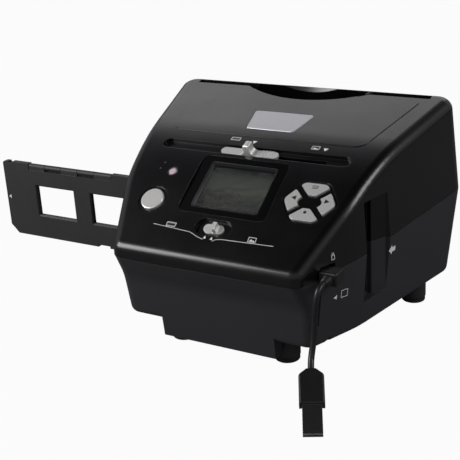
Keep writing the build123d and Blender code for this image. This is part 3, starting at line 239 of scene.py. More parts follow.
@dataclass(frozen=True)
class MetalSurface:
    """A metal, or a metal coat on plastic, with its marks left by the working."""

    name: str
    colour: str
    roughness: float
    working: Working
    mark_mm: float = 0.3
    relief_mm: float = 0.003
    metallic: float = 1.0
    edge_mm: float = 0.2

    def build(self) -> bpy.types.Material:
        """Marks are noise squeezed across the working direction, as bump and as gloss."""
        material, tree, place = new_material(self.name)
        stretched = put(tree, "ShaderNodeMapping", {"Vector": place, "Scale": self.working.value})
        marks = put(tree, "ShaderNodeTexNoise",
                    {"Vector": stretched.outputs[0], "Scale": 1 / (self.mark_mm * MM),
                     "Detail": 4.0, "Roughness": 0.6})
        rounded = put(tree, "ShaderNodeBevel", {"Radius": self.edge_mm * MM}, samples=4)
        bump = put(tree, "ShaderNodeBump",
                   {"Strength": 1.0, "Distance": self.relief_mm * MM, "Height": marks.outputs[0],
                    "Normal": rounded.outputs[0]})
        close(tree, put(tree, "ShaderNodeBsdfPrincipled",
                        {"Base Color": linear(self.colour), "Metallic": self.metallic,
                         "Roughness": between(tree, marks.outputs[0], self.roughness - 0.05,
                                              self.roughness + 0.06),
                         "Normal": bump.outputs["Normal"]}))
        return material


@dataclass(frozen=True)
class ClearPart:
    """Clear or tinted plastic: acrylic window, lamp lens, glass lens."""

    name: str
    colour: str
    roughness: float
    transmission: float
    ior: float = 1.49

    def build(self) -> bpy.types.Material:
        """Faint moulding waves of about 6 mm bend the reflection a little."""
        material, tree, place = new_material(self.name)
        waves = put(tree, "ShaderNodeTexNoise", {"Vector": place, "Scale": 1 / (6 * MM)})
        bump = put(tree, "ShaderNodeBump",
                   {"Strength": 1.0, "Distance": 0.01 * MM, "Height": waves.outputs[0]})
        close(tree, put(tree, "ShaderNodeBsdfPrincipled",
                        {"Base Color": linear(self.colour), "Roughness": self.roughness,
                         "IOR": self.ior, "Transmission Weight": self.transmission,
                         "Normal": bump.outputs["Normal"]}))
        return material


@dataclass(frozen=True)
class OpalSheet:
    """Opal acrylic diffuser: milky, lets light through its depth, with a satin face."""

    name: str = "opal_acrylic_sheet"
    colour: str = "#f1f1ec"

    def build(self) -> bpy.types.Material:
        """Milky body with scattering and a satin bump of 0.5 mm."""
        material, tree, place = new_material(self.name)
        satin = put(tree, "ShaderNodeTexNoise", {"Vector": place, "Scale": 1 / (0.5 * MM)})
        bump = put(tree, "ShaderNodeBump",
                   {"Strength": 1.0, "Distance": 0.005 * MM, "Height": satin.outputs[0]})
        close(tree, put(tree, "ShaderNodeBsdfPrincipled",
                        {"Base Color": linear(self.colour), "Roughness": 0.45,
                         "Subsurface Weight": 0.4, "Subsurface Scale": 0.002,
                         "Normal": bump.outputs["Normal"]}))
        return material


@dataclass(frozen=True)
class DisplayPicture:
    """A colour liquid crystal module that shows a plain dim landscape: a dark status band, a
    grey-green sky, a lighter horizon and broken dark ground, all under 40% brightness."""

    name: str
    centre: tuple[float, float, float]
    slope: float
    half_height: float

    def build(self) -> bpy.types.Material:
        """Colour runs up the module; noise of 3 to 9 mm breaks the ground, and less the sky. The
        dots are 0.12 mm, drawn at 0.3 mm so that they show."""
        material, tree, place = new_material(self.name)
        turned = put(tree, "ShaderNodeMapping",
                     {"Vector": place, "Location": self.centre,
                      "Rotation": (self.slope, 0.0, 0.0)}, vector_type="TEXTURE")
        parts = put(tree, "ShaderNodeSeparateXYZ", {"Vector": turned.outputs[0]})
        height = put(tree, "ShaderNodeMapRange",
                     {"Value": parts.outputs["Y"], "From Min": -self.half_height,
                      "From Max": self.half_height}).outputs["Result"]
        stretched = put(tree, "ShaderNodeMapping",
                        {"Vector": turned.outputs[0], "Scale": (0.45, 1.0, 1.0)})
        broken = put(tree, "ShaderNodeTexNoise",
                     {"Vector": stretched.outputs[0], "Scale": 1 / (3.2 * MM), "Detail": 5.0,
                      "Roughness": 0.62})
        reach = put(tree, "ShaderNodeMapRange",
                    {"Value": height, "From Min": 0.55, "From Max": 0.86, "To Min": 0.75,
                     "To Max": 0.06}).outputs["Result"]
        offset = put(tree, "ShaderNodeMath", {0: broken.outputs[0], 1: 0.5},
                     operation="SUBTRACT").outputs[0]
        moved = put(tree, "ShaderNodeMath", {0: offset, 1: reach, 2: height},
                    operation="MULTIPLY_ADD").outputs[0]
        base = ramp(tree, moved, ((0.0, "#1d1d1a"), (0.3, "#2a2a26"), (0.5, "#3e3e38"),
                                  (0.62, "#3f423a"), (0.88, "#2b302a"), (0.93, "#101311")))
        shade = between(tree, broken.outputs[0], 0.35, 1.6)
        ground = put(tree, "ShaderNodeMapRange",
                     {"Value": height, "From Min": 0.58, "From Max": 0.82, "To Min": 1.0,
                      "To Max": 0.15}).outputs["Result"]
        dots = put(tree, "ShaderNodeTexVoronoi",
                   {"Vector": turned.outputs[0], "Scale": 1 / (0.3 * MM), "Randomness": 0.0})
        shaded = put(tree, "ShaderNodeHueSaturation",
                     {"Color": base, "Value": shade, "Fac": ground})
        dim = put(tree, "ShaderNodeBump",
                  {"Strength": 0.2, "Distance": 0.01 * MM, "Height": dots.outputs["Distance"]})
        close(tree, put(tree, "ShaderNodeBsdfPrincipled",
                        {"Base Color": shaded.outputs[0], "Emission Color": shaded.outputs[0],
                         "Emission Strength": 0.22, "Roughness": 0.25,
                         "Normal": dim.outputs["Normal"]}))
        return material


@dataclass(frozen=True)
class SolderMask:
    """Glass-fibre board under green solder mask: copper tracks show as paler lines and pads as
    tin spots."""

    name: str = "green_solder_mask"

    def build(self) -> bpy.types.Material:
        """Tracks are square cells of 2.4 mm with soft borders, pads spots of the same cells."""
        material, tree, place = new_material(self.name)
        cells = put(tree, "ShaderNodeTexVoronoi",
                    {"Vector": place, "Scale": 1 / (2.4 * MM), "Randomness": 0.6},
                    distance="CHEBYCHEV")
        tracks = ramp(tree, cells.outputs["Distance"],
                      ((0.1, "#c3c2b8"), (0.14, "#1d5a38"), (0.3, "#174a2e"), (0.55, "#2b7148")))
        weave = put(tree, "ShaderNodeTexNoise", {"Vector": place, "Scale": 1 / (0.4 * MM)})
        bump = put(tree, "ShaderNodeBump",
                   {"Strength": 0.6, "Distance": 0.02 * MM, "Height": cells.outputs["Distance"]})
        close(tree, put(tree, "ShaderNodeBsdfPrincipled",
                        {"Base Color": tracks,
                         "Roughness": between(tree, weave.outputs[0], 0.28, 0.42),
                         "Normal": bump.outputs["Normal"]}))
        return material


@dataclass(frozen=True)
class PadPrint:
    """Pad-printed ink: matt, thin, with a slightly uneven lay."""

    name: str
    colour: str

    def build(self) -> bpy.types.Material:
        """Lay of the ink is noise of 0.6 mm, as a small change of colour and bump."""
        material, tree, place = new_material(self.name)
        lay = put(tree, "ShaderNodeTexNoise", {"Vector": place, "Scale": 1 / (0.6 * MM)})
        tint = put(tree, "ShaderNodeHueSaturation",
                   {"Color": linear(self.colour),
                    "Value": between(tree, lay.outputs[0], 0.9, 1.03)})
        bump = put(tree, "ShaderNodeBump",
                   {"Strength": 1.0, "Distance": 0.004 * MM, "Height": lay.outputs[0]})
        close(tree, put(tree, "ShaderNodeBsdfPrincipled",
                        {"Base Color": tint.outputs[0], "Roughness": 0.5,
                         "Normal": bump.outputs["Normal"]}))
        return material


# Upper shell: ABS from a polished mould, deep black with a clear soft reflection.
GLOSS_ABS = Moulding("abs_polished_mould", "#070708", "#0a0a0b", 0.24, 0.03, 0.3, 0.0008, 0.5)
# Lower shell: the same ABS from a spark-eroded mould, a matt charcoal.
SPARK_ABS = Moulding("abs_spark_eroded", "#2a2a2c", "#343437", 0.46, 0.04, 0.32, 0.006, 0.5, 1.38)
# Film holder: glass-filled ABS from a grained mould, flat dark grey.
GRAIN_ABS = Moulding("abs_grained_mould", "#1f1f20", "#2a2a2b", 0.55, 0.05, 0.5, 0.02, 0.25)
# Feet: nitrile rubber, dull.
FOOT_RUBBER = Moulding("nitrile_rubber", "#101011", "#18181a", 0.78, 0.06, 0.5, 0.02, 0.5)
# Display frame: gloss black ABS, near mirror.
FRAME_ABS = Moulding("abs_high_gloss", "#060607", "#080809", 0.13, 0.02, 0.3, 0.0005, 0.3)
# Inner carriers: plain black ABS, never seen in full light.
INNER_ABS = Moulding("abs_inner_black", "#0c0c0d", "#121213", 0.6, 0.05, 0.5, 0.01, 0.2)
# Lead: soft black PVC, satin.
CABLE_PVC = Moulding("soft_pvc", "#0e0e0f", "#151516", 0.42, 0.05, 0.4, 0.006, 0.3)
# Keys and knobs: ABS under vacuum-metallised satin silver lacquer.
SILVER_LACQUER = MetalSurface("satin_silver_lacquer", "#ecebe8", 0.3, Working.BLASTED, 0.25,
                              0.002, 0.6, 0.35)
# Badge: anodised aluminium plate, brushed along its length.
BADGE_PLATE = MetalSurface("brushed_anodised_aluminium", "#b4b4b8", 0.36,
                           Working.BRUSHED_ALONG_X, 0.12, 0.003, 0.85, 0.15)
# Rods: ground stainless steel.
GROUND_STEEL = MetalSurface("ground_stainless_steel", "#c8c8c6", 0.18, Working.GROUND_ROUND_X)
# Screws: zinc-plated steel.
ZINC_STEEL = MetalSurface("zinc_plated_steel", "#b9bcc0", 0.32, Working.BLASTED)
# Plug shells: nickel-plated steel.
NICKEL = MetalSurface("nickel_plated_steel", "#c9c6c0", 0.22, Working.BLASTED)
# Lamp ring: bright chrome on plastic.
CHROME = MetalSurface("bright_chrome", "#dcdce0", 0.08, Working.BLASTED, 0.3, 0.0005)
WINDOW = ClearPart("acrylic_window", "#e9ecea", 0.02, 1.0)
LAMP = ClearPart("pink_lamp_acrylic", "#f3d9dd", 0.25, 0.35)
LENS = ClearPart("coated_lens_barrel", "#15161c", 0.12, 0.0, 1.6)
WHITE_INK = PadPrint("white_pad_print", "#e9e9e7")
FAINT_INK = PadPrint("grey_pad_print", "#4c4c4e")
BLACK_INK = PadPrint("black_pad_print", "#121213")


# ================================================================ prints
@dataclass(frozen=True)
class Spot:
    """A place on a node's skin, found by looking at it along a line, with its own flat frame."""

    node: str
    eye: tuple[float, float, float]
    look: tuple[float, float, float]
    across: tuple[float, float, float] = (1.0, 0.0, 0.0)

    def matrix(self) -> Matrix:
        """Frame on the skin: local Z outward, local X near the across direction."""
        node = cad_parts[self.node]
        hit, place, normal, _ = node.ray_cast(Vector(self.eye), Vector(self.look).normalized())
        if not hit:
            raise RuntimeError(f"no skin of {self.node} below a print")
        if normal.dot(Vector(self.look)) > 0:
            normal = -normal
        x = Vector(self.across)
        x = (x - normal * x.dot(normal)).normalized()
        y = normal.cross(x)
        turn = Matrix((x, y, normal)).transposed().to_4x4()
        return Matrix.Translation(place) @ turn


def ribbon(points: np.ndarray, width: float) -> np.ndarray:
    """Outline of a line of constant width.

    Args:
        points: n by 2 array along the line.
        width: the line's width.

    Returns:
        2n by 2 outline: the points moved half a width to the right of the way, then back along
        the left.
    """
    way = np.gradient(points, axis=0)
    way = way / np.linalg.norm(way, axis=1, keepdims=True)
    side = np.stack([way[:, 1], -way[:, 0]], axis=1) * width / 2
    return np.concatenate([points + side, (points - side)[::-1]])


def triangle(x: float, y: float, width: float, height: float, turn: float = 0.0) -> np.ndarray:
    """Triangle whose middle is at x, y and that points along +Y before it is turned.

    Args:
        x: place of the middle.
        y: place of the middle.
        width: width of the foot.
        height: foot to tip.
        turn: angle in degrees, counter-clockwise.

    Returns:
        3 by 2 array, counter-clockwise.
    """
    corners = np.array([[-width / 2, -height / 2], [width / 2, -height / 2], [0.0, height / 2]])
    c, s = math.cos(math.radians(turn)), math.sin(math.radians(turn))
    return corners @ np.array([[c, s], [-s, c]]) + np.array([x, y])


def bar(x0: float, y0: float, x1: float, y1: float) -> np.ndarray:
    """Upright rectangle between two corners, counter-clockwise."""
    return np.array([[x0, y0], [x1, y0], [x1, y1], [x0, y1]])


def frame_bars(x0: float, y0: float, x1: float, y1: float, line: float) -> list[np.ndarray]:
    """Four bars along the border of a rectangle.

    Args:
        x0: left edge.
        y0: lower edge.
        x1: right edge.
        y1: upper edge.
        line: width of the border.

    Returns:
        The four outlines, butted at the corners.
    """
    return [bar(x0, y0, x1, y0 + line), bar(x0, y1 - line, x1, y1),
            bar(x0, y0 + line, x0 + line, y1 - line), bar(x1 - line, y0 + line, x1, y1 - line)]


def film_sign(x: float, y: float) -> list[np.ndarray]:
    """A strip of film: a frame with two rows of holes, 7.2 by 3.4 mm."""
    signs = frame_bars(x - 3.6, y - 1.7, x + 3.6, y + 1.7, 0.35)
    columns = x - 2.8 + 1.4 * np.arange(5)
    for row in (y - 1.0, y + 0.65):
        signs += [bar(c - 0.3, row, c + 0.3, row + 0.35) for c in columns]
    return signs


def photo_sign(x: float, y: float) -> list[np.ndarray]:
    """A picture: a frame with a hill, 5.6 by 3.8 mm."""
    return frame_bars(x - 2.8, y - 1.9, x + 2.8, y + 1.9, 0.35) + [
        triangle(x - 0.5, y - 0.35, 2.9, 1.7), triangle(x + 1.2, y - 0.65, 1.7, 1.1)]


def ink_plates(name: str, spot: Spot, outlines: list[np.ndarray], finish: bpy.types.Material,
               body: str, rise_mm: float = 0.03) -> bpy.types.Object:
    """Print flat outlines on a node's skin.

    Each outline becomes a thin plate: its points at a height of rise_mm above the skin and again
    just under it, a top face, a bottom face, and a wall between each pair of neighbours.

    Args:
        name: the piece's name.
        spot: the place and frame on the skin.
        outlines: n by 2 arrays in millimetres, counter-clockwise, in the spot's frame.
        finish: the ink.
        body: the body that carries the print.
        rise_mm: height of the ink above the skin.

    Returns:
        The print.
    """
    turn = np.array(spot.matrix())
    points, faces, start = [], [], 0
    for outline in outlines:
        n = len(outline)
        top = np.column_stack([outline, np.full(n, rise_mm)])
        low = np.column_stack([outline, np.full(n, -UNDER_SKIN_MM)])
        points += [top, low]
        ring = np.arange(n)
        after = (ring + 1) % n
        faces.append(tuple((start + ring).tolist()))
        faces.append(tuple((start + n + ring[::-1]).tolist()))
        walls = np.stack([start + after, start + ring, start + n + ring, start + n + after], 1)
        faces += [tuple(row) for row in walls.tolist()]
        start += 2 * n
    local = np.concatenate(points) * MM
    placed = local @ turn[:3, :3].T + turn[:3, 3]
    piece = solid(name, placed, faces)
    dress(piece, finish)
    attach(piece, body)
    LOG.info("print %s: %d outlines", name, len(outlines))
    return piece


# ================================================================ sub-assemblies
@dataclass
class Casing:
    """Upper and lower shell with badge, feet, screws and the prints on their skin. The skin is
    found from a point above the panel, or beside the right wall."""

    above: float = 0.3
    beside: float = 0.2
    leader_mm: float = 0.32
    slider_signs_y_mm: float = -9.3
    switch_y_mm: float = -81.0
    lamp_signs_mm: tuple[float, float] = (-58.0, -38.0)
    holder_arrow: tuple[float, float] = (-0.0083, 0.0689)
    card_sign: tuple[float, float] = (-0.060, 0.055)
    lead_sign: tuple[float, float] = (-0.0665, 0.0845)

    def build(self, inks: dict[str, bpy.types.Material]) -> None:
        """Dress the shells and lay the prints.

        Args:
            inks: the inks by name.
        """
        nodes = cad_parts
        dress(nodes["upper_shell"], GLOSS_ABS.build())
        dress(nodes["lower_shell"], SPARK_ABS.build())
        dress(nodes["badge_plate"], BADGE_PLATE.build())
        dress(nodes["case_screws"], ZINC_STEEL.build())
        rubber = FOOT_RUBBER.build()
        for name in ("foot_front_left", "foot_front_right", "foot_rear_left", "foot_rear_right"):
            dress(nodes[name], rubber)
        self.panel_prints(inks)
        self.side_prints(inks)

    def on_panel(self, x_mm: float, y_mm: float) -> Spot:
        """A spot on the sloping panel, seen from above."""
        return Spot("upper_shell", (x_mm * MM, y_mm * MM, self.above), (0.0, 0.0, -1.0))

    def on_side(self, node: str, place: tuple[float, float]) -> Spot:
        """A spot at the given Y and Z on the right side of a shell."""
        return Spot(node, (self.beside, *place), (-1.0, 0.0, 0.0), (0.0, 1.0, 0.0))

    def panel_prints(self, inks: dict[str, bpy.types.Material]) -> None:
        """Marks above the mode slider, by the front switch and by the lamp.

        Args:
            inks: the inks by name.
        """
        for name, x, sign in (("film", -3.6, film_sign(-15.5, 2.0)),
                              ("photo", 50.0, photo_sign(-7.5, 1.0))):
            ink_plates(f"print_slider_{name}", self.on_panel(x, self.slider_signs_y_mm),
                       [triangle(0.0, 0.0, 3.6, 3.0, 180.0)] + sign, inks["white"], "casing")
        left = np.array([[-45.6, 3.9], [-16.1, 2.0], [-8.5, -0.9], [-4.4, -2.0]])
        right = np.array([[2.6, -2.3], [5.2, -0.6], [8.5, 0.0], [46.0, 1.1]])
        ink_plates("print_switch_leaders", self.on_panel(0.0, self.switch_y_mm),
                   [ribbon(left, self.leader_mm), ribbon(right, self.leader_mm),
                    triangle(-3.5, -0.1, 2.0, 2.3), triangle(1.6, -0.3, 2.0, 2.3)],
                   inks["white"], "casing")
        ink_plates("print_switch_signs", self.on_panel(0.0, self.switch_y_mm),
                   film_sign(-32.0, 5.4) + photo_sign(30.0, 3.2), inks["white"], "casing")
        ink_plates("print_lamp_signs", self.on_panel(*self.lamp_signs_mm),
                   [triangle(-2.4, 2.0, 1.7, 1.5), triangle(-3.6, -3.6, 1.7, 1.5, 30.0)],
                   inks["faint"], "casing")

    def side_prints(self, inks: dict[str, bpy.types.Material]) -> None:
        """Marks on the right side: holder arrow, card slit and lead socket.

        Args:
            inks: the inks by name.
        """
        arrow = np.array([[-4.0, 0.0], [-0.4, -3.4], [-0.4, -1.6], [3.6, -1.6], [3.6, 1.6],
                          [-0.4, 1.6], [-0.4, 3.4]])
        ink_plates("print_holder_arrow", self.on_side("lower_shell", self.holder_arrow),
                   [arrow], inks["white"], "casing")
        card = [triangle(-4.0, -0.6, 3.2, 2.8, 90.0)] + frame_bars(1.2, -2.4, 7.0, 3.0, 0.4)
        ink_plates("print_card_sign", self.on_side("lower_shell", self.card_sign), card,
                   inks["white"], "casing")
        plug = frame_bars(-1.4, -2.6, 1.4, 0.6, 0.4) + [bar(-0.9, 0.6, -0.4, 2.2),
                                                        bar(0.4, 0.6, 0.9, 2.2)]
        ink_plates("print_lead_sign", self.on_side("upper_shell", self.lead_sign), plug,
                   inks["white"], "casing")


@dataclass
class Display:
    """Frame, clear window and colour module on the front slope."""

    slope_deg: float = 33.7
    half_height: float = 0.0174

    def build(self) -> None:
        """Dress the three pieces of the display."""
        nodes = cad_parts
        dress(nodes["display_frame"], FRAME_ABS.build())
        dress(nodes["display_glass"], WINDOW.build())
        low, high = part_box("display_panel")
        centre = (low + high) / 2
        picture = DisplayPicture("lcd_module_picture", tuple(centre),
                                 math.radians(self.slope_deg), self.half_height)
        dress(nodes["display_panel"], picture.build())
        LOG.info("display module at %s", [round(c, 4) for c in centre])


@dataclass
class Controls:
    """Scan key, four menu keys, lamp, mode slider and front switch."""

    key_mark_mm: float = 3.4
    key_line_half_mm: float = 2.2
    key_line_mm: float = 0.4
    key_lines_mm: tuple[float, ...] = (-1.2, -0.2, 0.8)
    key_dot_mm: float = 1.1
    silver: tuple[str, ...] = ("scan_button", "key_up", "key_down", "key_left", "key_right",
                               "function_knob", "slider_knob")

    def build(self, inks: dict[str, bpy.types.Material]) -> None:
        """Dress the controls and print their signs.

        Args:
            inks: the inks by name.
        """
        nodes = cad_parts
        lacquer = SILVER_LACQUER.build()
        for name in self.silver:
            dress(nodes[name], lacquer)
        dress(nodes["lamp_lens"], LAMP.build())
        dress(nodes["lamp_ring"], CHROME.build())
        dress(nodes["switch_body"], INNER_ABS.build())
        for name, turn in (("key_left", 90.0), ("key_right", -90.0)):
            self.key_sign(name, [triangle(0.0, 0.0, self.key_mark_mm, self.key_mark_mm, turn)],
                          inks["black"])
        half, line = self.key_line_half_mm, self.key_line_mm
        lines = [bar(-half, y, half, y + line) for y in self.key_lines_mm]
        self.key_sign("key_up", lines, inks["black"])
        dot = np.linspace(0.0, 2 * math.pi, 24, endpoint=False)
        self.key_sign("key_down",
                      [self.key_dot_mm * np.stack([np.cos(dot), np.sin(dot)], axis=1)],
                      inks["black"])

    def key_sign(self, key: str, outlines: list[np.ndarray], ink: bpy.types.Material) -> None:
        """Print one sign in the middle of a key.

        Args:
            key: the key's node.
            outlines: the sign in millimetres.
            ink: the ink.
        """
        low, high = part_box(key)
        middle = (low + high) / 2
        ink_plates(f"print_{key}", Spot(key, (middle.x, middle.y, 0.3), (0.0, 0.0, -1.0)),
                   outlines, ink, key.removeprefix("key_") + "_key")


@dataclass
class FilmPath:
    """Film holder, gates, backlight on its rods and the photo rails with their lights."""

    mark: tuple[float, float] = (-0.2195, 0.0731)
    in_front: float = -0.2

    def build(self, inks: dict[str, bpy.types.Material]) -> None:
        """Dress the pieces along the film's way and print the holder's arrow.

        Args:
            inks: the inks by name.
        """
        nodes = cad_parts
        grained, inner = GRAIN_ABS.build(), INNER_ABS.build()
        for name in ("holder_front_leaf", "holder_rear_leaf"):
            dress(nodes[name], grained)
        for name in ("film_gate_front", "film_gate_rear", "backlight_carriage",
                     "photo_rail_left", "photo_rail_right"):
            dress(nodes[name], inner)
        steel = GROUND_STEEL.build()
        for name in ("guide_rod_upper", "guide_rod_lower", "holder_hinge_pin"):
            dress(nodes[name], steel)
        opal = OpalSheet().build()
        for name in ("backlight_diffuser", "light_bar_left", "light_bar_right"):
            dress(nodes[name], opal)
        ink_plates("print_holder_tip",
                   Spot("holder_front_leaf", (self.mark[0], self.in_front, self.mark[1]),
                        (0.0, 1.0, 0.0)),
                   [triangle(0.0, 0.0, 3.2, 2.4, 90.0)], inks["white"], "film_holder")


@dataclass
class Electronics:
    """Camera, boards and sockets inside the casing."""

    boards: tuple[str, ...] = ("scan_board", "key_board", "camera_board", "main_board",
                               "port_board")

    def build(self) -> None:
        """Dress the boards, the sockets and the camera."""
        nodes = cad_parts
        mask = SolderMask().build()
        for name in self.boards:
            dress(nodes[name], mask)
        dress(nodes["lens_barrel"], LENS.build())
        dress(nodes["camera_bracket"], INNER_ABS.build())
        nickel = NICKEL.build()
        for name in ("usb_socket", "card_socket"):
            dress(nodes[name], nickel)


@dataclass
class Lead:
    """Short lead: plug in the side socket, strain relief, cable and the plug at its far end."""

    diameter: float = 0.004
    route_mm: tuple[tuple[float, float, float], ...] = (
        (82.0, -85.0, 73.6), (82.0, -88.7, 73.6), (81.7, -92.1, 71.6), (81.2, -93.7, 67.3),
        (80.6, -94.3, 60.8), (80.2, -94.7, 52.2), (79.9, -95.6, 43.6), (79.7, -97.0, 37.2),
        (79.6, -98.9, 32.0), (80.18, -101.73, 27.53), (82.3, -106.0, 24.6))
    relief_ring_mm: float = 1.5
    relief_groove_mm: float = 0.45
    relief_narrow_mm: float = 2.6
    relief_rows: int = 41
    relief_columns: int = 40

    def build(self) -> None:
        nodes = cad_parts
        vinyl, nickel = CABLE_PVC.build(), NICKEL.build()
        for name in ("usb_plug", "lead_plug"):
            dress(nodes[name], vinyl)
        for name in ("usb_plug_tip", "lead_plug_shell"):
            dress(nodes[name], nickel)
        relief = self.strain_relief(vinyl)
        cable = self.cable(vinyl)
        length = self.length(cable)
        LOG.info("lead cable %.1f mm", length / MM)

    def cable(self, finish: bpy.types.Material) -> bpy.types.Object:
        """Cable as a smooth spline with the route's points as its control points.

        Args:
            finish: the sheath.

        Returns:
            The cable.
        """
        curve = bpy.data.curves.new("lead_line", "CURVE")
        curve.dimensions = "3D"
        spline = curve.splines.new("NURBS")
        points = np.column_stack([np.array(self.route_mm) * MM, np.ones(len(self.route_mm))])
        spline.points.add(len(points) - 1)
        spline.points.foreach_set("co", points.ravel())
        # The points carry the cable's radius and the bevel is 1, because the curve's own box
        # grows by the radius of its points.
        spline.points.foreach_set("radius", np.full(len(points), self.diameter / 2))
        spline.order_u = 3
        spline.use_endpoint_u = True
        spline.resolution_u = 12
        curve.bevel_depth = 1.0
        curve.bevel_resolution = 5
        curve.use_fill_caps = True
        piece = bpy.data.objects.new("lead_line", curve)
        bpy.context.scene.collection.objects.link(piece)
        piece.data.materials.append(finish)
        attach(piece, "casing")
        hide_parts("lead_cable")
        return piece

    def length(self, cable: bpy.types.Object) -> float:
        """Length of the cable's centre line, as the sum of the spline's steps.

        Args:
            cable: the curve.

        Returns:
            Metres.
        """
        bevel, caps = cable.data.bevel_depth, cable.data.use_fill_caps
        cable.data.bevel_depth, cable.data.use_fill_caps = 0.0, False
        bpy.context.view_layer.update()
        line = bpy.data.meshes.new_from_object(
            cable.evaluated_get(bpy.context.evaluated_depsgraph_get()))
        points = np.empty(len(line.vertices) * 3)
        line.vertices.foreach_get("co", points)
        bpy.data.meshes.remove(line)
        cable.data.bevel_depth, cable.data.use_fill_caps = bevel, caps
        bpy.context.view_layer.update()
        steps = np.diff(points.reshape(-1, 3), axis=0)
        return float(np.linalg.norm(steps, axis=1).sum())

    def strain_relief(self, finish: bpy.types.Material) -> bpy.types.Object:
        """Tapered sleeve with rings, turned about the lead's first straight run.

        The radius falls in a straight line along the sleeve, less a rounded groove that repeats
        every relief_ring_mm: r(t) = r0 + (r1 - r0) t - groove (1 - cos(2 pi t n)) / 2.

        Args:
            finish: the sleeve's material.

        Returns:
            The sleeve.
        """
        low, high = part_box("plug_boot")
        centre = np.array([(low.x + high.x) / 2, 0.0, (low.z + high.z) / 2])
        start, end = high.y, low.y
        wide, narrow = (high.x - low.x) / 2, self.relief_narrow_mm * MM
        groove = self.relief_groove_mm * MM
        rings = (start - end) / (self.relief_ring_mm * MM)
        t = np.linspace(0.0, 1.0, self.relief_rows)
        radius = wide + (narrow - wide) * t - groove * (1 - np.cos(2 * math.pi * rings * t)) / 2
        turn = np.linspace(0.0, 2 * math.pi, self.relief_columns, endpoint=False)
        grid = np.empty((len(t), len(turn), 3))
        grid[..., 0] = centre[0] + radius[:, None] * np.cos(turn)[None, :]
        grid[..., 1] = (start + (end - start) * t)[:, None]
        grid[..., 2] = centre[2] + radius[:, None] * np.sin(turn)[None, :]
        n, m = len(t), len(turn)
        row, column = np.meshgrid(np.arange(n - 1), np.arange(m), indexing="ij")
        after = (column + 1) % m
        quads = np.stack([row * m + column, row * m + after, (row + 1) * m + after,
                          (row + 1) * m + column], axis=-1).reshape(-1, 4)
        faces = [tuple(q) for q in quads.tolist()]
        faces.append(tuple(range(m - 1, -1, -1)))
        faces.append(tuple(range((n - 1) * m, n * m)))
        piece = solid("strain_relief", grid.reshape(-1, 3), faces)
        dress(piece, finish)
        piece.data.shade_smooth()
        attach(piece, "casing")
        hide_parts("plug_boot")
        return piece


# ================================================================ studio
@dataclass(frozen=True)
class Softbox:
    """A rectangular lamp: its middle, the point that it faces, its sides and its power."""

    name: str
    place: tuple[float, float, float]
    aim: tuple[float, float, float]
    width: float
    height: float
    watts: float

    def build(self) -> None:
        """Add the lamp to the scene."""
        data = bpy.data.lights.new(self.name, "AREA")
        data.shape = "RECTANGLE"
        data.size, data.size_y, data.energy = self.width, self.height, self.watts
        made = bpy.data.objects.new(self.name, data)
        bpy.context.scene.collection.objects.link(made)
        facing = (Vector(self.aim) - Vector(self.place)).to_track_quat("-Z", "Y")
        made.matrix_world = Matrix.Translation(self.place) @ facing.to_matrix().to_4x4()


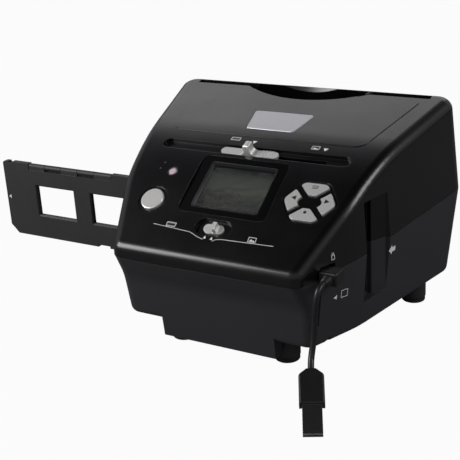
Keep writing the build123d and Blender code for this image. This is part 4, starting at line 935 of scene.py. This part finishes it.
@dataclass
class Studio:
    """Camera, pale floor, soft light."""

    eye: tuple[float, float, float] = (0.318662, -0.581463, 0.326066)
    yaw: float = 0.5442
    pitch: float = 0.3722
    roll: float = -0.0616
    focal_px: float = 990.415
    picture_px: float = 460.0
    sensor_mm: float = 36.0
    floor_half: float = 6.0
    floor_white: float = 0.96
    paper: str = "#7c7c7c"
    sky: tuple[tuple[float, str], ...] = (
        (0.0, "#8e8e92"), (0.3, "#a4a4a8"), (0.6, "#b4b4b8"), (0.8, "#5c5c60"),
        (0.93, "#141416"))
    lamps: tuple[Softbox, ...] = (
        Softbox("softbox_rear", (-0.55, 1.3, 1.0), (0.0, 0.04, 0.13), 1.5, 0.75, 2.6),
        Softbox("softbox_left", (-0.95, -0.85, 0.75), (0.0, -0.06, 0.06), 0.7, 0.7, 15.0),
        Softbox("softbox_right", (1.3, 0.2, 0.9), (0.05, 0.0, 0.06), 0.6, 0.6, 7.0))

    def build(self) -> None:
        """Set the camera, the floor, the world and the lamps."""
        self.camera()
        self.floor()
        self.world()
        for lamp in self.lamps:
            lamp.build()
        bpy.context.scene.view_settings.view_transform = "Standard"

    def camera(self) -> None:
        """Camera from its angles: back is (sin yaw cos pitch, -cos yaw cos pitch, sin pitch),
        and the picture is turned by roll about it."""
        back = np.array([math.sin(self.yaw) * math.cos(self.pitch),
                         -math.cos(self.yaw) * math.cos(self.pitch), math.sin(self.pitch)])
        right = np.cross([0.0, 0.0, 1.0], back)
        right /= np.linalg.norm(right)
        up = np.cross(back, right)
        c, s = math.cos(self.roll), math.sin(self.roll)
        turn = Matrix(np.stack([c * right + s * up, c * up - s * right, back], axis=1).tolist())
        data = bpy.data.cameras.new("view")
        data.sensor_fit = "HORIZONTAL"
        data.sensor_width = self.sensor_mm
        data.lens = self.focal_px * self.sensor_mm / self.picture_px
        data.clip_start, data.clip_end = 0.01, 50.0
        made = bpy.data.objects.new("view", data)
        bpy.context.scene.collection.objects.link(made)
        made.matrix_world = Matrix.Translation(self.eye) @ turn.to_4x4()
        bpy.context.scene.camera = made

    def floor(self) -> None:
        """Matt grey paper. Seen by the camera, straight or through a clear piece, it goes most
        of the way to white; a reflection shows the grey."""
        half = self.floor_half
        made = solid("floor", np.array([[-half, -half, 0.0], [half, -half, 0.0],
                                        [half, half, 0.0], [-half, half, 0.0]]), [(0, 1, 2, 3)])
        material, tree, _ = new_material("pale_matt_paper")
        paper = put(tree, "ShaderNodeBsdfDiffuse", {"Color": linear(self.paper)})
        white = put(tree, "ShaderNodeEmission", {"Color": linear("#ffffff"), "Strength": 1.0})
        ray = put(tree, "ShaderNodeLightPath")
        seen = put(tree, "ShaderNodeMath", {0: ray.outputs["Is Camera Ray"],
                                            1: ray.outputs["Is Transmission Ray"]},
                   operation="MAXIMUM")
        amount = put(tree, "ShaderNodeMath", {0: seen.outputs[0], 1: self.floor_white},
                     operation="MULTIPLY")
        close(tree, put(tree, "ShaderNodeMixShader",
                        {0: amount.outputs[0], 1: paper.outputs[0], 2: white.outputs[0]}))
        dress(made, material)

    def world(self) -> None:
        """White where the camera looks, straight or through a clear piece. For the object, a
        sky that is bright from the horizon to halfway up and dim overhead, as a room with a low
        ring of softboxes."""
        world = bpy.data.worlds.new("studio")
        bpy.context.scene.world = world
        world.use_nodes = True
        tree = world.node_tree
        tree.nodes.clear()
        way = put(tree, "ShaderNodeTexCoord")
        height = put(tree, "ShaderNodeSeparateXYZ", {"Vector": way.outputs["Generated"]})
        sky = ramp(tree, height.outputs["Z"], self.sky)
        lit = put(tree, "ShaderNodeBackground", {"Color": sky, "Strength": 1.0})
        white = put(tree, "ShaderNodeBackground", {"Color": linear("#ffffff"), "Strength": 1.0})
        ray = put(tree, "ShaderNodeLightPath")
        seen = put(tree, "ShaderNodeMath", {0: ray.outputs["Is Camera Ray"],
                                            1: ray.outputs["Is Transmission Ray"]},
                   operation="MAXIMUM")
        mixed = put(tree, "ShaderNodeMixShader",
                    {0: seen.outputs[0], 1: lit.outputs[0], 2: white.outputs[0]})
        put(tree, "ShaderNodeOutputWorld", {"Surface": mixed.outputs[0]})


def main() -> None:
    """Build every sub-assembly in order; the lead, the display and each print report to the log.
    """
    logging.basicConfig(level=logging.INFO, format="%(name)s: %(message)s")
    bpy.context.view_layer.update()
    Studio().build()
    Lead().build()
    inks = {"white": WHITE_INK.build(), "faint": FAINT_INK.build(), "black": BLACK_INK.build()}
    Casing().build(inks)
    Display().build()
    Controls().build(inks)
    FilmPath().build(inks)
    Electronics().build()
    bpy.context.view_layer.update()


if __name__ == "__main__":
    main()
